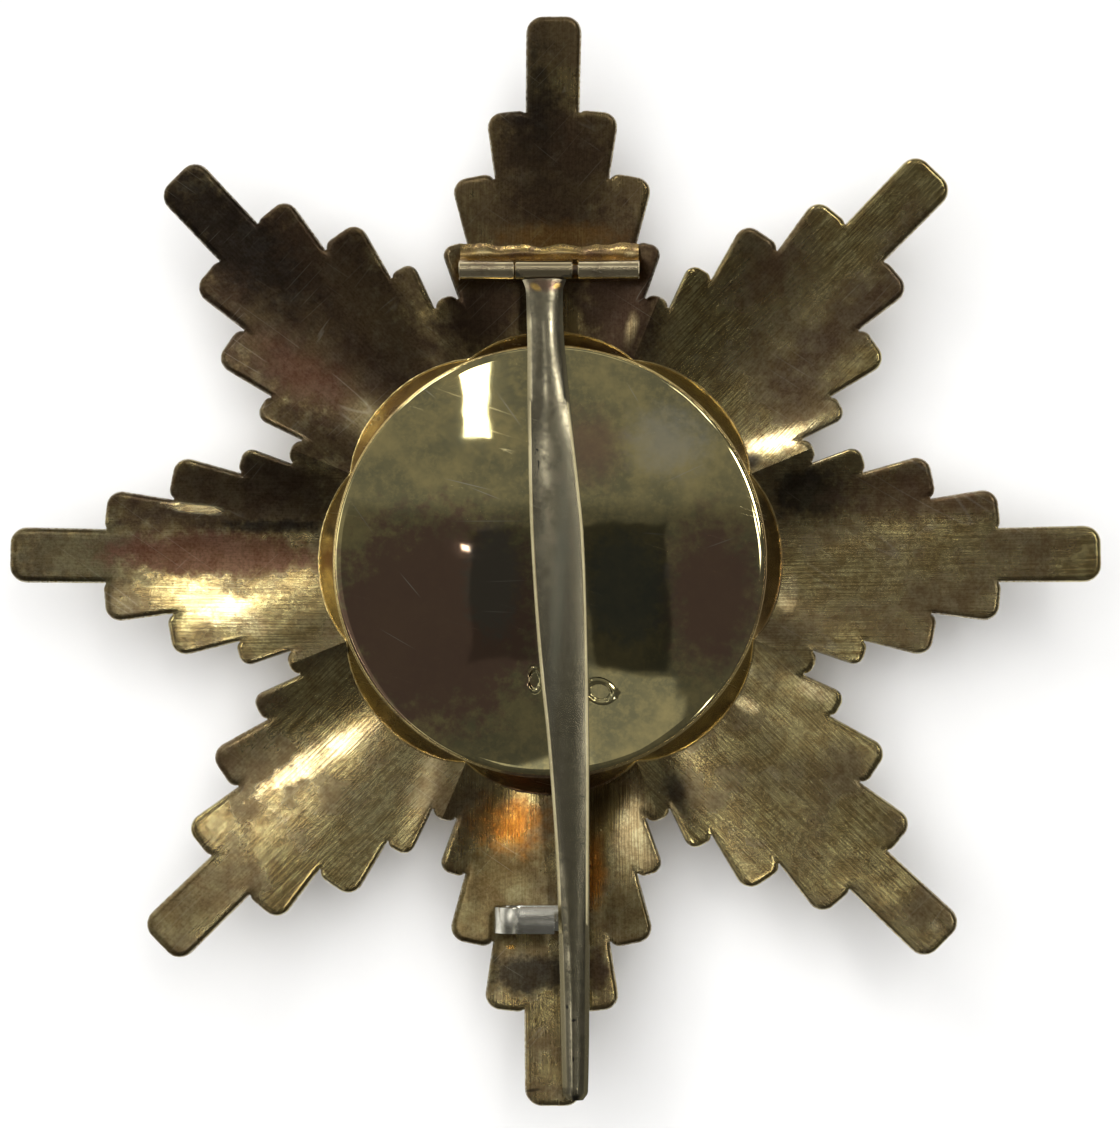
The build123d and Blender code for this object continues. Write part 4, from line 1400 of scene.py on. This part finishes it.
# %% [markdown]
# The plain front
#
# The photo doesn't show the front, so it has a plain bezel and a plain domed disc.

# %% Turn the bezel and the medallion
bezel_profile = rounded(
    [
        (12.6, 0, 0.45),
        (15.6, 0, 0.45),
        (15.6, 4.71, 0.1),
        (13.2, 4.71, 0.1),
        (13.2, 1.6, 0),
        (12.6, 1.6, 0.1),
    ],
    count=6,
)
bezel = solid("bezel", turned(bezel_profile, 200, HUB, closed=True))
bezel.data.materials.append(metals["front_gilt_metal"])
place(bezel, "star", "front_gilt", "medallion_ring")

disc_profile = [(radius, 0.6 + 0.9 * (radius / 12.4) ** 2) for radius in np.linspace(0, 12.38, 24)]
disc_profile += [(12.4, 1.52), (12.4, 1.64), (13.1, 1.64), (13.12, 1.68), (13.12, 2.43)]
disc_profile += [(13.1, 2.45), (12.4, 2.45)]
disc_profile += [(radius, 1.55 + 0.9 * (radius / 12.4) ** 2) for radius in np.linspace(12.38, 0, 16)]
front_disc = solid("front_disc", turned(disc_profile, 200, HUB))
front_disc.data.materials.append(metals["front_gilt_metal"])
place(front_disc, "star", "front_gilt", "medallion")

# %% [markdown]
# Setting
#
# The floor is plain and pale, under a broad lamp that the metal doesn't mirror. What the metal mirrors
# comes from the world: soft rectangles for a window, lamps and the darker parts of a room, each placed by
# the x and y of the direction in which it lies. Later rows lie over earlier ones.

# %% Floor, light and camera
scene = bpy.context.scene
floor_paint = bpy.data.materials.new("pale_floor")
floor_paint.use_nodes = True
floor_shader = next(item for item in floor_paint.node_tree.nodes if item.type == "BSDF_PRINCIPLED")
floor_shader.inputs["Base Color"].default_value = (0.9, 0.9, 0.9, 1)
floor_shader.inputs["Roughness"].default_value = 0.9
FLOOR_HALF = 900
corners = [(x * FLOOR_HALF, y * FLOOR_HALF, 0) for x, y in ((-1, -1), (1, -1), (1, 1), (-1, 1))]
floor = mesh_object("floor", corners, [(0, 1, 2, 3)])
floor.data.materials.append(floor_paint)

Panel = namedtuple("Panel", "x y half_x half_y turn soft level")
PANELS = [
    # broad parts of the room, seen from the star
    Panel(x=0.0, y=-0.8, half_x=1.2, half_y=0.66, turn=0, soft=0.06, level=0.08),
    Panel(x=0.72, y=0.2, half_x=0.38, half_y=0.9, turn=0, soft=0.07, level=0.11),
    Panel(x=0.2, y=0.0, half_x=0.24, half_y=0.13, turn=8, soft=0.05, level=0.12),
    Panel(x=0.02, y=0.5, half_x=0.13, half_y=0.05, turn=0, soft=0.05, level=1.2),
    Panel(x=-0.42, y=0.0, half_x=0.065, half_y=0.8, turn=0, soft=0.035, level=0.45),
    Panel(x=-0.66, y=0.13, half_x=0.16, half_y=0.1, turn=40, soft=0.06, level=1.6),
    Panel(x=-0.6, y=-0.45, half_x=0.11, half_y=0.35, turn=0, soft=0.04, level=0.12),
    Panel(x=-0.02, y=-0.03, half_x=0.2, half_y=0.15, turn=0, soft=0.012, level=0.11),
    # windows and lamps
    Panel(x=-0.4, y=0.62, half_x=0.03, half_y=0.1, turn=-25, soft=0.03, level=14.0),
    Panel(x=-0.45, y=-0.36, half_x=0.02, half_y=0.13, turn=5, soft=0.03, level=1.5),
    Panel(x=-0.305, y=-0.055, half_x=0.01, half_y=0.03, turn=20, soft=0.015, level=8.0),
    Panel(x=0.2, y=0.33, half_x=0.014, half_y=0.06, turn=0, soft=0.015, level=24.0),
    Panel(x=0.238, y=0.17, half_x=0.012, half_y=0.05, turn=25, soft=0.012, level=28.0),
    Panel(x=0.2, y=0.1, half_x=0.008, half_y=0.03, turn=50, soft=0.01, level=16.0),
    Panel(x=0.185, y=-0.125, half_x=0.006, half_y=0.02, turn=0, soft=0.006, level=18.0),
    # what the cover mirrors
    Panel(x=-0.06, y=0.05, half_x=0.03, half_y=0.055, turn=0, soft=0.002, level=0.065),
    Panel(x=0.04, y=0.048, half_x=0.033, half_y=0.06, turn=2, soft=0.002, level=0.038),
    Panel(x=0.035, y=-0.065, half_x=0.042, half_y=0.05, turn=-8, soft=0.003, level=0.34),
    Panel(x=-0.035, y=-0.103, half_x=0.05, half_y=0.02, turn=24, soft=0.003, level=0.6),
    Panel(x=-0.084, y=0.212, half_x=0.0125, half_y=0.033, turn=0, soft=0.001, level=7.0),
    Panel(x=-0.095, y=0.086, half_x=0.0035, half_y=0.0025, turn=0, soft=0.0012, level=9.0),
]
ROOM_LEVEL = 0.24


def panel_group():
    """Lays one soft-edged rectangle over what is already there, placed by the direction's x and y."""
    inputs = [("Direction", VECTOR, (0, 0, 0)), ("Middle", VECTOR, (0, 0, 0))]
    inputs += [("Across", VECTOR, (1, 0, 0)), ("Along", VECTOR, (0, 1, 0))]
    inputs += [("Half Width", FLOAT, 1.0), ("Half Length", FLOAT, 1.0), ("Soft", FLOAT, 0.05)]
    inputs += [("Level", FLOAT, 1.0), ("Under", FLOAT, 0.0)]
    tree, given, results = shader_group("soft_panel", inputs, ["Level"])
    away = vector_calc(tree, "SUBTRACT", given["Direction"], given["Middle"])
    beyond = []
    for axis, half in (("Across", "Half Width"), ("Along", "Half Length")):
        reach = vector_calc(tree, "DOT_PRODUCT", away, given[axis], output="Value")
        beyond.append(calc(tree, "SUBTRACT", calc(tree, "ABSOLUTE", reach), given[half]))
    low = calc(tree, "MULTIPLY", given["Soft"], -1)
    share = ease(tree, calc(tree, "MAXIMUM", *beyond), low, given["Soft"], 1, 0)
    mixed = node(tree, "ShaderNodeMix", {0: share, 2: given["Under"], 3: given["Level"]}, data_type="FLOAT")
    tree.links.new(mixed.outputs[0], results["Level"])
    return tree


world = bpy.data.worlds.new("studio")
scene.world = world
world.use_nodes = True
world.cycles.sampling_method = "MANUAL"
world.cycles.sample_map_resolution = 256
sky = world.node_tree
backdrop = next(item for item in sky.nodes if item.type == "BACKGROUND")
towards = node(sky, "ShaderNodeTexCoord").outputs["Generated"]
level = node(sky, "ShaderNodeValue")
level.outputs[0].default_value = ROOM_LEVEL
level = level.outputs[0]
soft_panel = panel_group()
for panel in PANELS:
    feeds = {
        "Direction": towards,
        "Middle": (panel.x, panel.y, 0),
        "Across": (*polar(1, panel.turn), 0),
        "Along": (*polar(1, panel.turn + 90), 0),
        "Half Width": panel.half_x,
        "Half Length": panel.half_y,
        "Soft": panel.soft,
        "Level": panel.level,
        "Under": level,
    }
    level = effect(sky, soft_panel, feeds, "Level")
parts = node(sky, "ShaderNodeSeparateXYZ", {"Vector": towards}).outputs
low_down = ease(sky, parts["Z"], 0.2, 0.4, 1, 0)
horizon = ease(sky, parts["Y"], -0.8, 0.3, 0.1, 0.95)
level = calc(sky, "ADD", level, calc(sky, "MULTIPLY", low_down, calc(sky, "SUBTRACT", horizon, level)))
sky.links.new(level, backdrop.inputs["Strength"])
backdrop.inputs["Color"].default_value = (1, 0.98, 0.94, 1)
print(len(PANELS), "panels light the scene")

# the floor's own light, which the metal doesn't mirror
soft_box = bpy.data.lights.new("soft_box", "AREA")
soft_box.shape = "DISK"
soft_box.size = 1.7
soft_box.energy = 17
overhead = bpy.data.objects.new("soft_box", soft_box)
overhead.location = (-0.1, 0.15, 1.1)
overhead.rotation_euler = overhead.location.to_track_quat("Z", "Y").to_euler()
overhead.visible_glossy = False
overhead.visible_camera = False
scene.collection.objects.link(overhead)

lens = bpy.data.cameras.new("camera")
lens.lens = 83.3
lens.sensor_width = 36
lens.clip_start = 0.01
camera = bpy.data.objects.new("camera", lens)
scene.collection.objects.link(camera)
scene.camera = camera
ahead = Vector((-0.0203, 0.0766, -0.9969)).normalized()
right = ahead.cross(Vector((0.001, 0.9971, 0.0766))).normalized()
place_and_turn = Matrix((right, right.cross(ahead), -ahead)).transposed().to_4x4()
place_and_turn.translation = Vector((4.82, -16.25, 211.52)) * MM
camera.matrix_world = place_and_turn
scene.view_settings.view_transform = "Standard"
